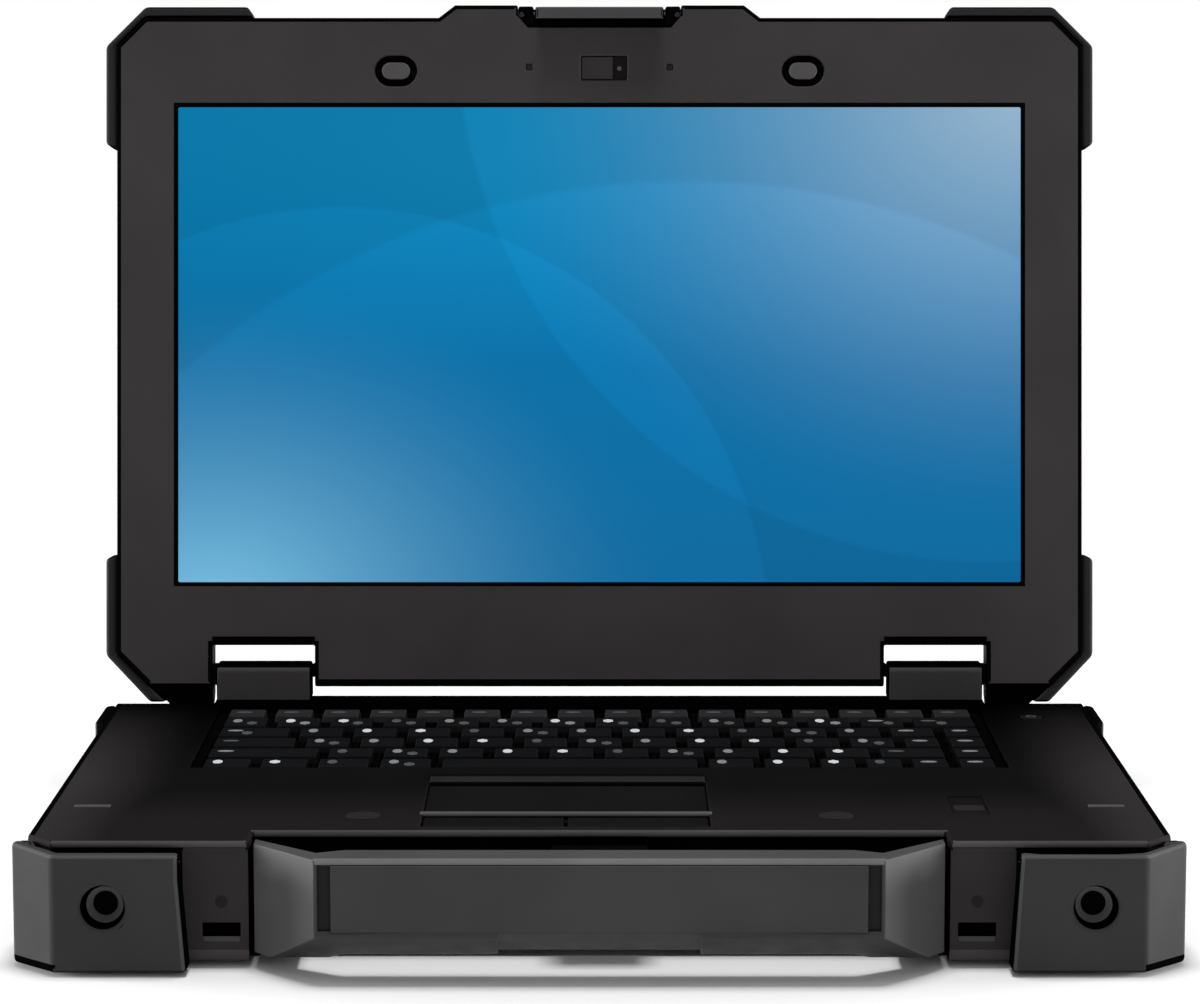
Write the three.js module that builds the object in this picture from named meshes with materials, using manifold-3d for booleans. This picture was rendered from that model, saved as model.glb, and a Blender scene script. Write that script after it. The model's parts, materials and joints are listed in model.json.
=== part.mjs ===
// Rugged clamshell laptop computer, open, with a rigid carry handle across the front.
// Millimetres. X runs to the user's right, Y to the back, Z up from the table.
// The drawing origin is on the deck's rear corner edge, in the middle of the width;
// the finished group is moved at the end so that its box stands centred on the origin.

import * as THREE from 'three';
import { mergeVertices } from 'three/addons/utils/BufferGeometryUtils.js';
import Module from 'manifold-3d';

const wasm = await Module();
wasm.setup();

// Clearances shared by all pieces
const fitGap = 0.3;
const runningGap = 0.4;
const overrun = 1;
const roundSegments = 24;

// Base case
const caseHalfWidth = 177.1;
const caseDepth = 235;
const deckTop = 40;
const deckThickness = 2.4;
const caseBottom = 1.8;
const caseFloor = 2.2;
const caseWall = 3.4;
const caseFrontCut = 8;
const recessInset = 69.1;
const recessDepth = 15.5;
const rearOverhangLip = 0.8;
const rearCornerLip = 0.7;
const cornerShelfDrop = 6.5;
const rearCornerCut = 12;
const frontEdgeBevel = 4;

// Front bumpers and strap sockets
const frontBumperWall = 3.95;
const frontBumperWidth = 52.85;
const frontBumperReach = 11.3;
const frontBumperCut = 13.95;
const frontBumperTopDrop = 1;
const frontBumperBottom = 1.1;
const frontBumperWrapDrop = 9;
const frontBumperTopWrap = 2.35;
const frontBumperSideWrap = 30;
const strapSocketInset = 23.4;
const strapSocketDrop = 18.4;
const strapCounterbore = 6.8;
const strapRingSetback = 2.6;
const strapHole = 4;
const strapHoleDepth = 6;

// Rear bumpers
const rearBumperThickness = 3.5;
const rearBumperSide = 38;
const rearBumperBottom = 3;
const rearBumperEndSlope = 4;
const rearBumperTopDrop = 0.4;

// Carry handle
const handleReach = 23;
const handleBarDepth = 14;
const handleShoulder = 21.7;
const handleArmWidth = 15;
const handleTopDrop = 0.7;
const handleArmBottom = 5;
const handleFaceBottom = 15.1;
const handleUnderside = 6.5;
const handleEdgeRound = 1.4;
const handleRimAtRoot = 7.5;
const handleRimAtBar = 10;
const handleStepDrop = 9;
const handleReliefHalfWidth = 31;
const handleReliefHeight = 1.4;
const gripEndMargin = 4.9;
const gripRecessEndMargin = 0.9;
const gripRecessDepth = 1.2;
const gripThickness = 1.3;
const gripTopMargin = 1.6;

// Latch keeper in the finger gap
const keeperHalfWidth = 15;
const keeperDrop = 4.6;
const keeperThickness = 1.5;
const keeperReach = 12.6;
const keeperHeight = 11;

// Keyboard
const keyFieldMargin = 2.2;
const keyboardRearGap = 0.4;
const keyFrontMargin = 0.2;
const keyFieldInset = 40.8;
const keyRowPitch = 18.8;
const keyGap = 2.4;
const functionKeyDepth = 14.5;
const functionKeyCount = 16;
const numberKeyCount = 13;
const upperKeyCount = 12;
const middleKeyCount = 11;
const lowerKeyCount = 10;
const keysPerPair = 2;
const fullDepthRowCount = 5;
const lastNumberShare = 1.347;
const tabShare = 1.5;
const capsShare = 1.684;
const shiftShare = 2.168;
const rightColumnShare = 0.832;
const controlShare = 1.026;
const modifierShare = 1.105;
const arrowShare = 0.826;
const cornerShare = 0.833;
const keyTopDrop = 0.6;
const keyTopInset = 1;
const keyBodyHeight = 4.8;
const carrierThickness = 1.3;
const carrierDepth = 6;
const carrierOverlap = 0.1;
const frameThickness = 1.7;
const frameMargin = 2.2;
const frameSkirtWidth = 1.6;
const frameSkirtHeight = 4;
const spaceCapHeight = 2.5;

// Touchpad and its two buttons
const touchpadSideMargin = 0.4;
const touchpadOffset = -0.6;
const touchpadSetback = 25.3;
const touchpadDrop = 1.2;
const touchpadThickness = 2.2;
const padButtonGap = 2;
const padButtonFrontMargin = 6.3;
const padButtonDepth = 17.6;
const padButtonDrop = 0.8;
const padButtonHeight = 3.2;

// Fingerprint reader and power button
const fingerprintInset = 58.6;
const fingerprintWidth = 11;
const fingerprintFrontMargin = 40;
const fingerprintDepth = 28;
const fingerprintDrop = 0.5;
const fingerprintThickness = 1.9;
const powerButtonInset = 14.6;
const powerButtonRear = 28;
const powerButtonRadius = 4;
const powerButtonRise = 0.3;
const powerButtonHeight = 4;

// Hinge towers, hinge pins and the lid's swing
const towerSetback = 1.2;
const towerFootRise = 0.8;
const towerSideGap = 1.6;
const towerEdgeRadius = 2.5;
const towerTopRise = 5.8;
const hingePinRadius = 2.5;
const hingePinInTower = 26;
const hingePinInLid = 14;
const openAngle = 97.46;
const quarterTurn = 90;

// Lid
const lidTop = 242.8;
const latchRise = 4.6;
const latchTopHalfWidth = 53;
const latchSlope = 6;
const lidTopCut = 10.4;
const lidBottom = 2.75;
const lidCornerBottom = 9.8;
const lidCornerCut = 19.5;
const notchInset = 34.9;
const notchWidth = 37.7;
const notchTop = 12.5;
const bezelThickness = 2.4;
const lidBackWall = 2.2;
const lidSideWall = 3.2;
const lidTopWall = 5.6;
const cornerBlockTop = 16;
const cavityCornerCut = 12;
const bevelTop = 1.5;
const cornerBevelInset = 4;
const centreBevelInset = 1.8;
const cornerBackBevelRise = 3.8;
const centreBackBevelRise = 1.75;

// Lid bumpers
const lidBumperWidth = 4.1;
const lidBumperTopWidth = 48.1;
const lidBumperTopHeight = 46.3;
const lidBumperBottomSide = 44;
const lidBumperBottomEnd = 8.4;
const lidBumperEndSlope = 2;
const lidBumperFrontSetback = 0.6;
const lidBumperBackProud = 1.2;
const lidBumperCapReach = 20;

// Screen
const bezelSideWidth = 22.35;
const screenBottom = 35.6;
const bezelHeadWidth = 32.7;
const screenOverlap = 3;
const glassThickness = 1.3;
const lcdThickness = 4.5;
const lcdInset = 0.6;
const lcdBackGap = 0.5;

// Bezel pads, camera and its shutter
const bezelPadX = 74.7;
const bezelPadDrop = 19.5;
const bezelPadLength = 10.3;
const bezelPadWidth = 6.1;
const bezelPadMargin = 2.6;
const bezelPadRecess = 1.2;
const bezelPadProud = 0.3;
const microphoneX = 25.8;
const microphoneDrop = 18.2;
const microphoneWidth = 2.3;
const cameraLeft = -6.9;
const cameraWindowWidth = 17.1;
const cameraWindowRise = 9.9;
const cameraWindowHeight = 8.8;
const shutterThickness = 1.1;
const shutterSetback = 0.8;
const shutterTravel = 4.7;
const cameraLensInset = 2.8;
const cameraLensRadius = 1.9;
const cameraModuleMargin = 3;
const cameraModuleThickness = 3.6;
const cameraLensProud = 0.25;

// Lid hinge brackets
const bracketPlateSideGap = 1.9;
const bracketPlateHeight = 48;
const bracketPlateThickness = 2.2;
const bracketArmInset = 4.1;
const bracketArmWidth = 3.4;
const bracketEyeFrontGap = 0.6;

// Latch lever
const latchRecessHalfWidth = 30;
const latchRecessHeight = 7.7;
const latchRecessBackWall = 2.5;
const leverEndGap = 6.5;
const leverTopGap = 0.5;
const leverHeight = 4.6;
const leverFrontSetback = 0.3;
const leverPivotBackGap = 3.9;
const leverTrunnionRadius = 1.2;
const leverTrunnionHold = 1.1;
const clawHalfWidth = 22.6;
const clawReach = 9.5;
const clawThickness = 2.2;
const clawLipThickness = 1.8;
const clawLipDrop = 2.3;

// Inside the case
const bossRadius = 3.2;
const boardSideGap = 15.7;
const boardRear = 4;
const boardFrontGap = 6;
const boardBottom = 11;
const boardThickness = 1.6;
const connectorWidth = 7;
const connectorHeight = 9;
const connectorDepth = 14;
const connectorPitch = 17;
const connectorCount = 3;
const processorX = -44;
const processorRear = 50;
const processorSide = 34;
const processorHeight = 2.4;
const heatSinkHalfWidth = 30;
const heatSinkBase = 2.4;
const heatSinkDepth = 42;
const finCount = 11;
const finThickness = 1.6;
const finTopGap = 4.9;
const fanX = 26;
const fanRear = 50;
const fanSide = 54;
const fanHeight = 11;
const fanWall = 1.6;
const fanBladeGap = 2.9;
const fanHubRadius = 8;
const fanBladeCount = 9;
const fanBladeThickness = 1.2;
const fanBladeHeight = 6;
const fanShaftRadius = 1.6;
const memorySideGap = 9.5;
const memoryEndGap = 21.5;
const memoryRear = 40;
const memoryDepth = 30;
const memoryThickness = 3.6;
const batterySideGap = 9.5;
const batteryRearGap = 12.1;
const batteryHeight = 19;
const batteryFrontMargin = 2;
const driveSideGap = 0.4;
const driveWidth = 69.8;
const driveRearGap = 6;
const driveHeight = 9.5;
const driveFrontGap = 29;
const speakerWidth = 38;
const speakerDepth = 18;
const speakerHeight = 17;
const speakerBottom = 5;
const speakerSlotInset = 2.9;
const speakerSlotWidth = 11.4;
const speakerSlotBottom = 10.2;
const speakerSlotHeight = 4;
const ventCount = 9;
const ventWidth = 4;
const ventPitch = 7;
const ventBottom = 13;
const ventHeight = 14;

// Side port doors
const doorRear = 60;
const doorLength = 58;
const doorBottom = 12;
const doorHeight = 17;
const doorThickness = 2;
const doorLedge = 3;

// Feet and battery latch
const footLength = 44;
const footWidth = 11;
const footHeight = 2.6;
const footSideInset = 49.1;
const footRearPlace = 14;
const footFrontInset = 21;
const footPocketDepth = 1.1;
const batteryLatchX = 0;
const batteryLatchPlace = 128;
const batteryLatchLength = 20;
const batteryLatchWidth = 10;
const batteryLatchThickness = 1;
const batteryLatchTravel = 5;

// Lid layers, from the front to the back
const lidThickness = bezelThickness + fitGap + glassThickness + fitGap + lcdThickness
  + lcdBackGap + bracketPlateThickness + fitGap + lidBackWall;
const halfLid = lidThickness / 2;
const towerHalfDepth = halfLid;

// Levels and lines that follow from the sizes above
const lean = openAngle - quarterTurn;
const deckBottom = deckTop - deckThickness;
const caseTop = deckBottom - fitGap;
const floorTop = caseBottom + caseFloor;
const recessFront = recessDepth - caseDepth;
const shelfTop = deckTop - cornerShelfDrop;
const hingeBack = towerSetback + towerHalfDepth;
const hingeRise = towerFootRise + towerHalfDepth;
const rearOverhang = hingeBack + towerHalfDepth + rearOverhangLip;

// Places across the width, measured from the side of the case
const recessHalfWidth = caseHalfWidth - recessInset;
const bumperHalfWidth = caseHalfWidth + fitGap + frontBumperWall;
const frontBumperInner = bumperHalfWidth - frontBumperWidth;
const strapSocketX = frontBumperInner + strapSocketInset;
const handleBarHalfWidth = recessHalfWidth - handleShoulder;
const gripHalfWidth = handleBarHalfWidth - gripEndMargin;
const gripRecessHalfWidth = handleBarHalfWidth - gripRecessEndMargin;
const fingerprintX = caseHalfWidth - fingerprintInset;
const notchOuter = caseHalfWidth - notchInset;
const notchInner = notchOuter - notchWidth;
const rearOverhangHalfWidth = notchOuter - rearCornerLip;
const towerOuter = notchOuter - towerSideGap;
const towerInner = notchInner + towerSideGap;
const bracketArmInner = notchOuter + bracketArmInset;
const bracketEyeRadius = halfLid - bezelThickness - bracketEyeFrontGap;
const speakerSlotInner = recessHalfWidth + speakerSlotInset;
const footX = caseHalfWidth - footSideInset;
const footFrontPlace = caseDepth - footFrontInset;

// Keyboard field and the pitch of its keys
const rowShare = numberKeyCount + lastNumberShare;
const keyFieldHalfWidth = caseHalfWidth - keyFieldInset;
const keyPitch = 2 * keyFieldHalfWidth / rowShare;
const keyboardRear = caseWall + frameMargin + keyboardRearGap;
const keyboardHalfWidth = keyFieldHalfWidth + keyFieldMargin;
const keyboardDepth = 2 * keyGap + functionKeyDepth + fullDepthRowCount * keyRowPitch
  + keyFrontMargin;
const keyboardFront = -keyboardRear - keyboardDepth;
const leftOfSpaceShare = keysPerPair * (controlShare + modifierShare);
const rightOfSpaceShare = keysPerPair * (1 + arrowShare) + cornerShare + rightColumnShare;
const spaceWidth = (rowShare - leftOfSpaceShare - rightOfSpaceShare) * keyPitch;
const spaceLeft = leftOfSpaceShare * keyPitch - keyFieldHalfWidth;
const powerButtonX = keyboardHalfWidth + frameMargin + powerButtonInset;

// Touchpad and buttons, between the keyboard and the front edge
const touchpadLeft = spaceLeft + touchpadOffset - touchpadSideMargin;
const touchpadRight = spaceLeft + spaceWidth + touchpadOffset + touchpadSideMargin;
const touchpadRear = keyboardFront - touchpadSetback;
const padButtonFront = recessFront + padButtonFrontMargin;
const padButtonRear = padButtonFront + padButtonDepth;
const touchpadFront = padButtonRear + padButtonGap;

// Lid faces, front to back
const bezelBack = bezelThickness - halfLid;
const shellFront = bezelBack + fitGap;
const cavityBack = halfLid - lidBackWall;

// Places up the lid, measured from its top
const screenHalfWidth = caseHalfWidth - bezelSideWidth;
const screenTop = lidTop - bezelHeadWidth;
const bezelPadHeight = lidTop - bezelPadDrop;
const microphoneHeight = lidTop - microphoneDrop;
const cameraWindowBottom = screenTop + cameraWindowRise;
const cameraLensX = cameraLeft + cameraWindowWidth - cameraLensInset;
const lidBumperTopInner = caseHalfWidth - lidBumperTopWidth;
const lidBumperTopSide = lidTop - lidBumperTopHeight;
const latchTop = lidTop + latchRise;
const latchSlopeHalfWidth = latchTopHalfWidth + latchSlope;
const latchRecessBottom = latchTop - latchRecessHeight;
const latchRecessDepth = lidThickness - latchRecessBackWall;
const leverTop = latchTop - leverTopGap;
const leverBottom = leverTop - leverHeight;
const leverHalfWidth = latchRecessHalfWidth - leverEndGap;
const leverTrunnionLength = leverEndGap + leverTrunnionHold;
const leverPivotDepth = latchRecessDepth - leverPivotBackGap;
const leverPivot = new THREE.Vector2(leverPivotDepth - halfLid, (leverBottom + leverTop) / 2);

// Levels of the doors, keys and boards in the base
const doorFront = -doorRear - doorLength;
const keyTop = deckTop - keyTopDrop;
const frameTop = deckBottom - fitGap;
const keyBottom = keyTop - keyBodyHeight;
const carrierBottom = keyBottom + carrierOverlap - carrierThickness;
const framePlateBottom = frameTop - frameThickness;
const frameSkirtBottom = framePlateBottom - frameSkirtHeight;
const boardTop = boardBottom + boardThickness;
const boardHalfWidth = caseHalfWidth - caseWall - boardSideGap;
const boardFront = doorFront - boardFrontGap;

// Solid helpers

function solid(geometry) {
  const plain = geometry.clone();
  plain.deleteAttribute('normal');
  plain.deleteAttribute('uv');
  const merged = mergeVertices(plain);
  const vertProperties = new Float32Array(merged.attributes.position.array);
  const triVerts = new Uint32Array(merged.index.array);
  return new wasm.Manifold(new wasm.Mesh({ numProp: 3, vertProperties, triVerts }));
}

function geometryOf(body) {
  const mesh = body.getMesh();
  const geometry = new THREE.BufferGeometry();
  geometry.setAttribute('position', new THREE.BufferAttribute(new Float32Array(mesh.vertProperties), 3));
  geometry.setIndex(new THREE.BufferAttribute(new Uint32Array(mesh.triVerts), 1));
  const flat = geometry.toNonIndexed();
  flat.computeVertexNormals();
  return flat;
}

function joined(first, ...others) {
  return others.reduce((sum, next) => sum.add(next), first);
}

function cut(body, ...tools) {
  return tools.reduce((rest, tool) => rest.subtract(tool), body);
}

// A box given by its lowest and highest corner along each axis
function block(x0, x1, y0, y1, z0, z1) {
  const geometry = new THREE.BoxGeometry(x1 - x0, y1 - y0, z1 - z0);
  geometry.translate((x0 + x1) / 2, (y0 + y1) / 2, (z0 + z1) / 2);
  return solid(geometry);
}

function extruded(points, depth, basis, offset) {
  const shape = new THREE.Shape(points.map(([a, b]) => new THREE.Vector2(a, b)));
  const geometry = new THREE.ExtrudeGeometry(shape, { depth, bevelEnabled: false });
  geometry.applyMatrix4(basis);
  geometry.translate(offset.x, offset.y, offset.z);
  return solid(geometry);
}

const alongX = new THREE.Matrix4().makeBasis(
  new THREE.Vector3(0, 1, 0), new THREE.Vector3(0, 0, 1), new THREE.Vector3(1, 0, 0));
const alongY = new THREE.Matrix4().makeBasis(
  new THREE.Vector3(1, 0, 0), new THREE.Vector3(0, 0, 1), new THREE.Vector3(0, -1, 0));
const alongZ = new THREE.Matrix4();

// Prisms from an outline in the plane across the named axis
function prismX(yzPoints, x0, x1) {
  return extruded(yzPoints, x1 - x0, alongX, new THREE.Vector3(x0, 0, 0));
}

function prismY(xzPoints, y0, y1) {
  return extruded(xzPoints, y1 - y0, alongY, new THREE.Vector3(0, y1, 0));
}

function prismZ(xyPoints, z0, z1) {
  return extruded(xyPoints, z1 - z0, alongZ, new THREE.Vector3(0, 0, z0));
}

// Round bars along an axis: the two other coordinates, then the radius and the span
function rodX(y, z, radius, x0, x1) {
  const geometry = new THREE.CylinderGeometry(radius, radius, x1 - x0, roundSegments);
  geometry.rotateZ(Math.PI / 2);
  geometry.translate((x0 + x1) / 2, y, z);
  return solid(geometry);
}

function rodY(x, z, radius, y0, y1) {
  const geometry = new THREE.CylinderGeometry(radius, radius, y1 - y0, roundSegments);
  geometry.translate(x, (y0 + y1) / 2, z);
  return solid(geometry);
}

function rodZ(x, y, radius, z0, z1) {
  const geometry = new THREE.CylinderGeometry(radius, radius, z1 - z0, roundSegments);
  geometry.rotateX(Math.PI / 2);
  geometry.translate(x, y, (z0 + z1) / 2);
  return solid(geometry);
}

// A box whose top is drawn in by the same inset on every side
function taperedBlock(x0, x1, y0, y1, z0, z1, inset) {
  const geometry = new THREE.BoxGeometry(x1 - x0, y1 - y0, z1 - z0);
  const place = geometry.attributes.position;
  for (let i = 0; i < place.count; i += 1) {
    if (place.getZ(i) > 0) {
      place.setX(i, place.getX(i) - Math.sign(place.getX(i)) * inset);
      place.setY(i, place.getY(i) - Math.sign(place.getY(i)) * inset);
    }
  }
  geometry.translate((x0 + x1) / 2, (y0 + y1) / 2, (z0 + z1) / 2);
  return solid(geometry);
}

// A flat oval along X, standing in the X-Z plane
function ovalY(x, z, length, width, y0, y1) {
  const radius = width / 2;
  const reach = length / 2 - radius;
  return joined(
    rodY(x - reach, z, radius, y0, y1),
    rodY(x + reach, z, radius, y0, y1),
    block(x - reach, x + reach, y0, y1, z - radius, z + radius));
}

function mirrored(points) {
  return points.map(([x, other]) => [-x, other]).reverse();
}

// An outline given for its right half, from the front middle to the rear middle
function bothHalves(rightHalf) {
  return [...rightHalf, ...mirrored(rightHalf)];
}

function mirroredBody(body) {
  return body.mirror([1, 0, 0]);
}

// Materials
function finish(color, roughness, metalness) {
  return new THREE.MeshStandardMaterial({ color, roughness, metalness });
}

const caseFinish = finish(0x2b2a2b, 0.55, 0);
const deckFinish = finish(0x201f20, 0.6, 0);
const bumperFinish = finish(0x343434, 0.7, 0);
const handleFinish = finish(0x3c3c3c, 0.6, 0);
const bezelFinish = finish(0x383637, 0.55, 0);
const keyFinish = finish(0x18181a, 0.5, 0);
const steelFinish = finish(0x8c8c90, 0.35, 0.9);
const darkMetalFinish = finish(0x3a3a3c, 0.4, 0.8);
const rubberFinish = finish(0x1c1c1c, 0.9, 0);
const glassFinish = finish(0x10689c, 0.2, 0);
const boardFinish = finish(0x1f4a2e, 0.6, 0);
const plasticFinish = finish(0x2a2a2c, 0.6, 0);
const copperFinish = finish(0xb07a4c, 0.35, 0.9);

const laptop = new THREE.Group();
const lid = new THREE.Group();
lid.position.set(0, hingeBack, deckTop + hingeRise);
lid.rotation.x = -THREE.MathUtils.degToRad(lean);
laptop.add(lid);

function addTo(group, name, body, material) {
  const mesh = new THREE.Mesh(geometryOf(body), material);
  mesh.name = name;
  group.add(mesh);
}

function addPair(group, name, rightBody, material) {
  addTo(group, `${name}_right`, rightBody, material);
  addTo(group, `${name}_left`, mirroredBody(rightBody), material);
}

// Lower case: a tub with thick side walls, a handle recess in front and dropped rear corners

const caseFrontHalf = [
  [0, recessFront],
  [recessHalfWidth, recessFront],
  [recessHalfWidth, -caseDepth],
  [caseHalfWidth - caseFrontCut, -caseDepth],
  [caseHalfWidth, caseFrontCut - caseDepth],
];

const caseOutline = bothHalves([
  ...caseFrontHalf,
  [caseHalfWidth, rearOverhang - rearCornerCut],
  [caseHalfWidth - rearCornerCut, rearOverhang],
  [0, rearOverhang],
].slice(1, -1));

const cavityOutline = bothHalves([
  [recessHalfWidth + caseWall, recessFront + caseWall],
  [recessHalfWidth + caseWall, caseWall - caseDepth],
  [caseHalfWidth - caseFrontCut - caseWall / 2, caseWall - caseDepth],
  [caseHalfWidth - caseWall, caseFrontCut + caseWall / 2 - caseDepth],
  [caseHalfWidth - caseWall, rearOverhang - rearCornerCut - caseWall / 2],
  [caseHalfWidth - rearCornerCut - caseWall / 2, rearOverhang - caseWall],
]);

const shelfPocketOutline = [
  [rearOverhangHalfWidth, 0],
  [caseHalfWidth + overrun, 0],
  [caseHalfWidth + overrun, rearOverhang + overrun],
  [rearOverhangHalfWidth, rearOverhang + overrun],
];

function doorRecess(outward, ledge) {
  const far = caseHalfWidth + overrun;
  return block(outward, far, doorFront + ledge - runningGap, -doorRear - ledge + runningGap,
    doorBottom + ledge - runningGap, doorBottom + doorHeight - ledge + runningGap);
}

function buildLowerCase() {
  const cornerRoof = shelfTop - caseWall;
  const shelfPocket = prismZ(shelfPocketOutline, shelfTop, caseTop + overrun);
  const cornerKeep = prismZ([
    [rearOverhangHalfWidth - caseWall, -caseWall],
    [caseHalfWidth, -caseWall],
    [caseHalfWidth, rearOverhang],
    [rearOverhangHalfWidth - caseWall, rearOverhang],
  ], cornerRoof, caseTop + overrun);
  const cavity = cut(prismZ(cavityOutline, floorTop, caseTop + overrun),
    cornerKeep, mirroredBody(cornerKeep));
  const footPockets = [-1, 1].flatMap((side) => [-footFrontPlace, -footRearPlace].map((y) => block(
    side * footX - footLength / 2 - fitGap, side * footX + footLength / 2 + fitGap,
    y - footWidth / 2 - fitGap, y + footWidth / 2 + fitGap,
    caseBottom - overrun, caseBottom + footPocketDepth)));
  const latchPocket = block(
    batteryLatchX - batteryLatchLength / 2 - fitGap,
    batteryLatchX + batteryLatchLength / 2 + batteryLatchTravel + fitGap,
    -batteryLatchPlace - batteryLatchWidth / 2 - fitGap,
    -batteryLatchPlace + batteryLatchWidth / 2 + fitGap,
    caseBottom - overrun, caseBottom + batteryLatchThickness + 2 * fitGap);
  const slot = block(speakerSlotInner, speakerSlotInner + speakerSlotWidth,
    -caseDepth - overrun, caseWall - caseDepth + overrun,
    speakerSlotBottom, speakerSlotBottom + speakerSlotHeight);
  const frontBevel = prismX([
    [-caseDepth - overrun, caseBottom + frontEdgeBevel],
    [-caseDepth, caseBottom + frontEdgeBevel],
    [-caseDepth + frontEdgeBevel / 2, caseBottom],
    [-caseDepth + frontEdgeBevel / 2, caseBottom - overrun],
    [-caseDepth - overrun, caseBottom - overrun],
  ], -caseHalfWidth, caseHalfWidth);
  const deepRecess = doorRecess(caseHalfWidth - doorThickness - fitGap, 0);
  const bayOpening = doorRecess(caseHalfWidth - caseWall - overrun, doorLedge);
  const vents = Array.from({ length: ventCount }, (_, i) => {
    const x = (i - (ventCount - 1) / 2) * ventPitch + processorX;
    return block(x - ventWidth / 2, x + ventWidth / 2, rearOverhang - caseWall - overrun,
      rearOverhang + overrun, ventBottom, ventBottom + ventHeight);
  });
  const bosses = boardBossPlaces().map(([x, y]) => rodZ(x, y, bossRadius, floorTop - overrun,
    boardBottom - fitGap));
  const tub = cut(prismZ(caseOutline, caseBottom, caseTop), cavity, shelfPocket,
    mirroredBody(shelfPocket), ...footPockets, latchPocket, slot, mirroredBody(slot), frontBevel,
    deepRecess, mirroredBody(deepRecess), bayOpening, mirroredBody(bayOpening), ...vents);
  return joined(tub, ...bosses);
}

function boardBossPlaces() {
  const x = boardHalfWidth - 2 * bossRadius;
  const front = boardFront + 2 * bossRadius;
  const rear = -boardRear - 2 * bossRadius;
  return [[x, front], [-x, front], [x, rear], [-x, rear]];
}

addTo(laptop, 'lower_case', buildLowerCase(), caseFinish);

// Palm rest deck: the top plate, open over the keyboard, touchpad, reader and power button

const deckOutline = bothHalves([
  ...caseFrontHalf.slice(1),
  [caseHalfWidth, 0],
  [rearOverhangHalfWidth, 0],
  [rearOverhangHalfWidth, rearOverhang],
]);

const fingerprintFront = fingerprintFrontMargin - caseDepth;
const fingerprintRear = fingerprintFront + fingerprintDepth;

function buildDeck() {
  const through = [deckBottom - overrun, deckTop + overrun];
  const keyboardHole = block(-keyboardHalfWidth, keyboardHalfWidth, keyboardFront, -keyboardRear,
    ...through);
  const touchpadHole = block(touchpadLeft, touchpadRight, touchpadFront, touchpadRear, ...through);
  const buttonHole = block(touchpadLeft, touchpadRight, padButtonFront, padButtonRear, ...through);
  const readerHole = block(fingerprintX - fingerprintWidth / 2 - fitGap,
    fingerprintX + fingerprintWidth / 2 + fitGap,
    fingerprintFront - fitGap, fingerprintRear + fitGap, ...through);
  const powerHole = rodZ(powerButtonX, -powerButtonRear, powerButtonRadius + fitGap, ...through);
  return cut(prismZ(deckOutline, deckBottom, deckTop), keyboardHole, touchpadHole, buttonHole,
    readerHole, powerHole);
}

addTo(laptop, 'palmrest_deck', buildDeck(), deckFinish);

// Front corner bumpers, with a strap socket in each

const bumperFrontFace = -caseDepth - frontBumperReach;
const strapSocketZ = deckTop - strapSocketDrop;

function buildFrontBumper() {
  const top = deckTop - frontBumperTopDrop;
  const back = -caseDepth - fitGap;
  const cornerBack = [
    [caseHalfWidth + fitGap, back + caseFrontCut],
    [caseHalfWidth - caseFrontCut, back],
    [frontBumperInner, back],
  ];
  const face = [
    [frontBumperInner, bumperFrontFace],
    [bumperHalfWidth - frontBumperCut, bumperFrontFace],
    [bumperHalfWidth, bumperFrontFace + frontBumperCut],
  ];
  const topWrap = bumperFrontFace + frontBumperCut + frontBumperTopWrap;
  const upper = prismZ([...face, [bumperHalfWidth, topWrap],
    [caseHalfWidth + fitGap, topWrap + fitGap], ...cornerBack],
    top - frontBumperWrapDrop, top);
  const lower = prismZ([...face, [bumperHalfWidth, frontBumperSideWrap - caseDepth],
    [caseHalfWidth + fitGap, frontBumperSideWrap + rearBumperEndSlope - caseDepth], ...cornerBack],
    frontBumperBottom, top - frontBumperWrapDrop);
  const bore = rodY(strapSocketX, strapSocketZ, strapCounterbore, bumperFrontFace - overrun,
    back + overrun);
  return cut(joined(upper, lower), bore);
}

function buildStrapSocket() {
  const front = bumperFrontFace + strapRingSetback;
  const outer = strapCounterbore - fitGap;
  return cut(rodY(strapSocketX, strapSocketZ, outer, front, -caseDepth - 2 * fitGap),
    rodY(strapSocketX, strapSocketZ, strapHole, front - overrun, front + strapHoleDepth));
}

addPair(laptop, 'front_bumper', buildFrontBumper(), bumperFinish);
addPair(laptop, 'strap_socket', buildStrapSocket(), steelFinish);

// Rear corner bumpers, stepped down where the lid's corners drop in

function buildRearBumper() {
  const inner = caseHalfWidth + fitGap;
  const outer = inner + rearBumperThickness;
  const innerBack = rearOverhang + fitGap;
  const outerBack = innerBack + rearBumperThickness;
  const side = [
    [inner, -rearBumperSide],
    [outer, rearBumperEndSlope - rearBumperSide],
  ];
  const wrap = prismZ([...side,
    [outer, innerBack - rearCornerCut],
    [inner - rearCornerCut, outerBack],
    [rearOverhangHalfWidth + rearBumperEndSlope, outerBack],
    [rearOverhangHalfWidth, innerBack],
    [inner - rearCornerCut, innerBack],
    [inner, innerBack - rearCornerCut],
  ], rearBumperBottom, shelfTop - rearBumperTopDrop);
  const upper = prismZ([...side,
    [outer, -rearBumperThickness],
    [inner, 0],
  ], shelfTop - rearBumperTopDrop, deckTop - rearBumperTopDrop);
  return joined(wrap, upper);
}

addPair(laptop, 'rear_bumper', buildRearBumper(), bumperFinish);

// Carry handle: a rigid bow in front of the handle recess, with an inset grip

const handleFace = -caseDepth - handleReach;
const handleBack = handleFace + handleBarDepth;
const handleTop = deckTop - handleTopDrop;
const handleRoot = recessFront - fitGap;

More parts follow.
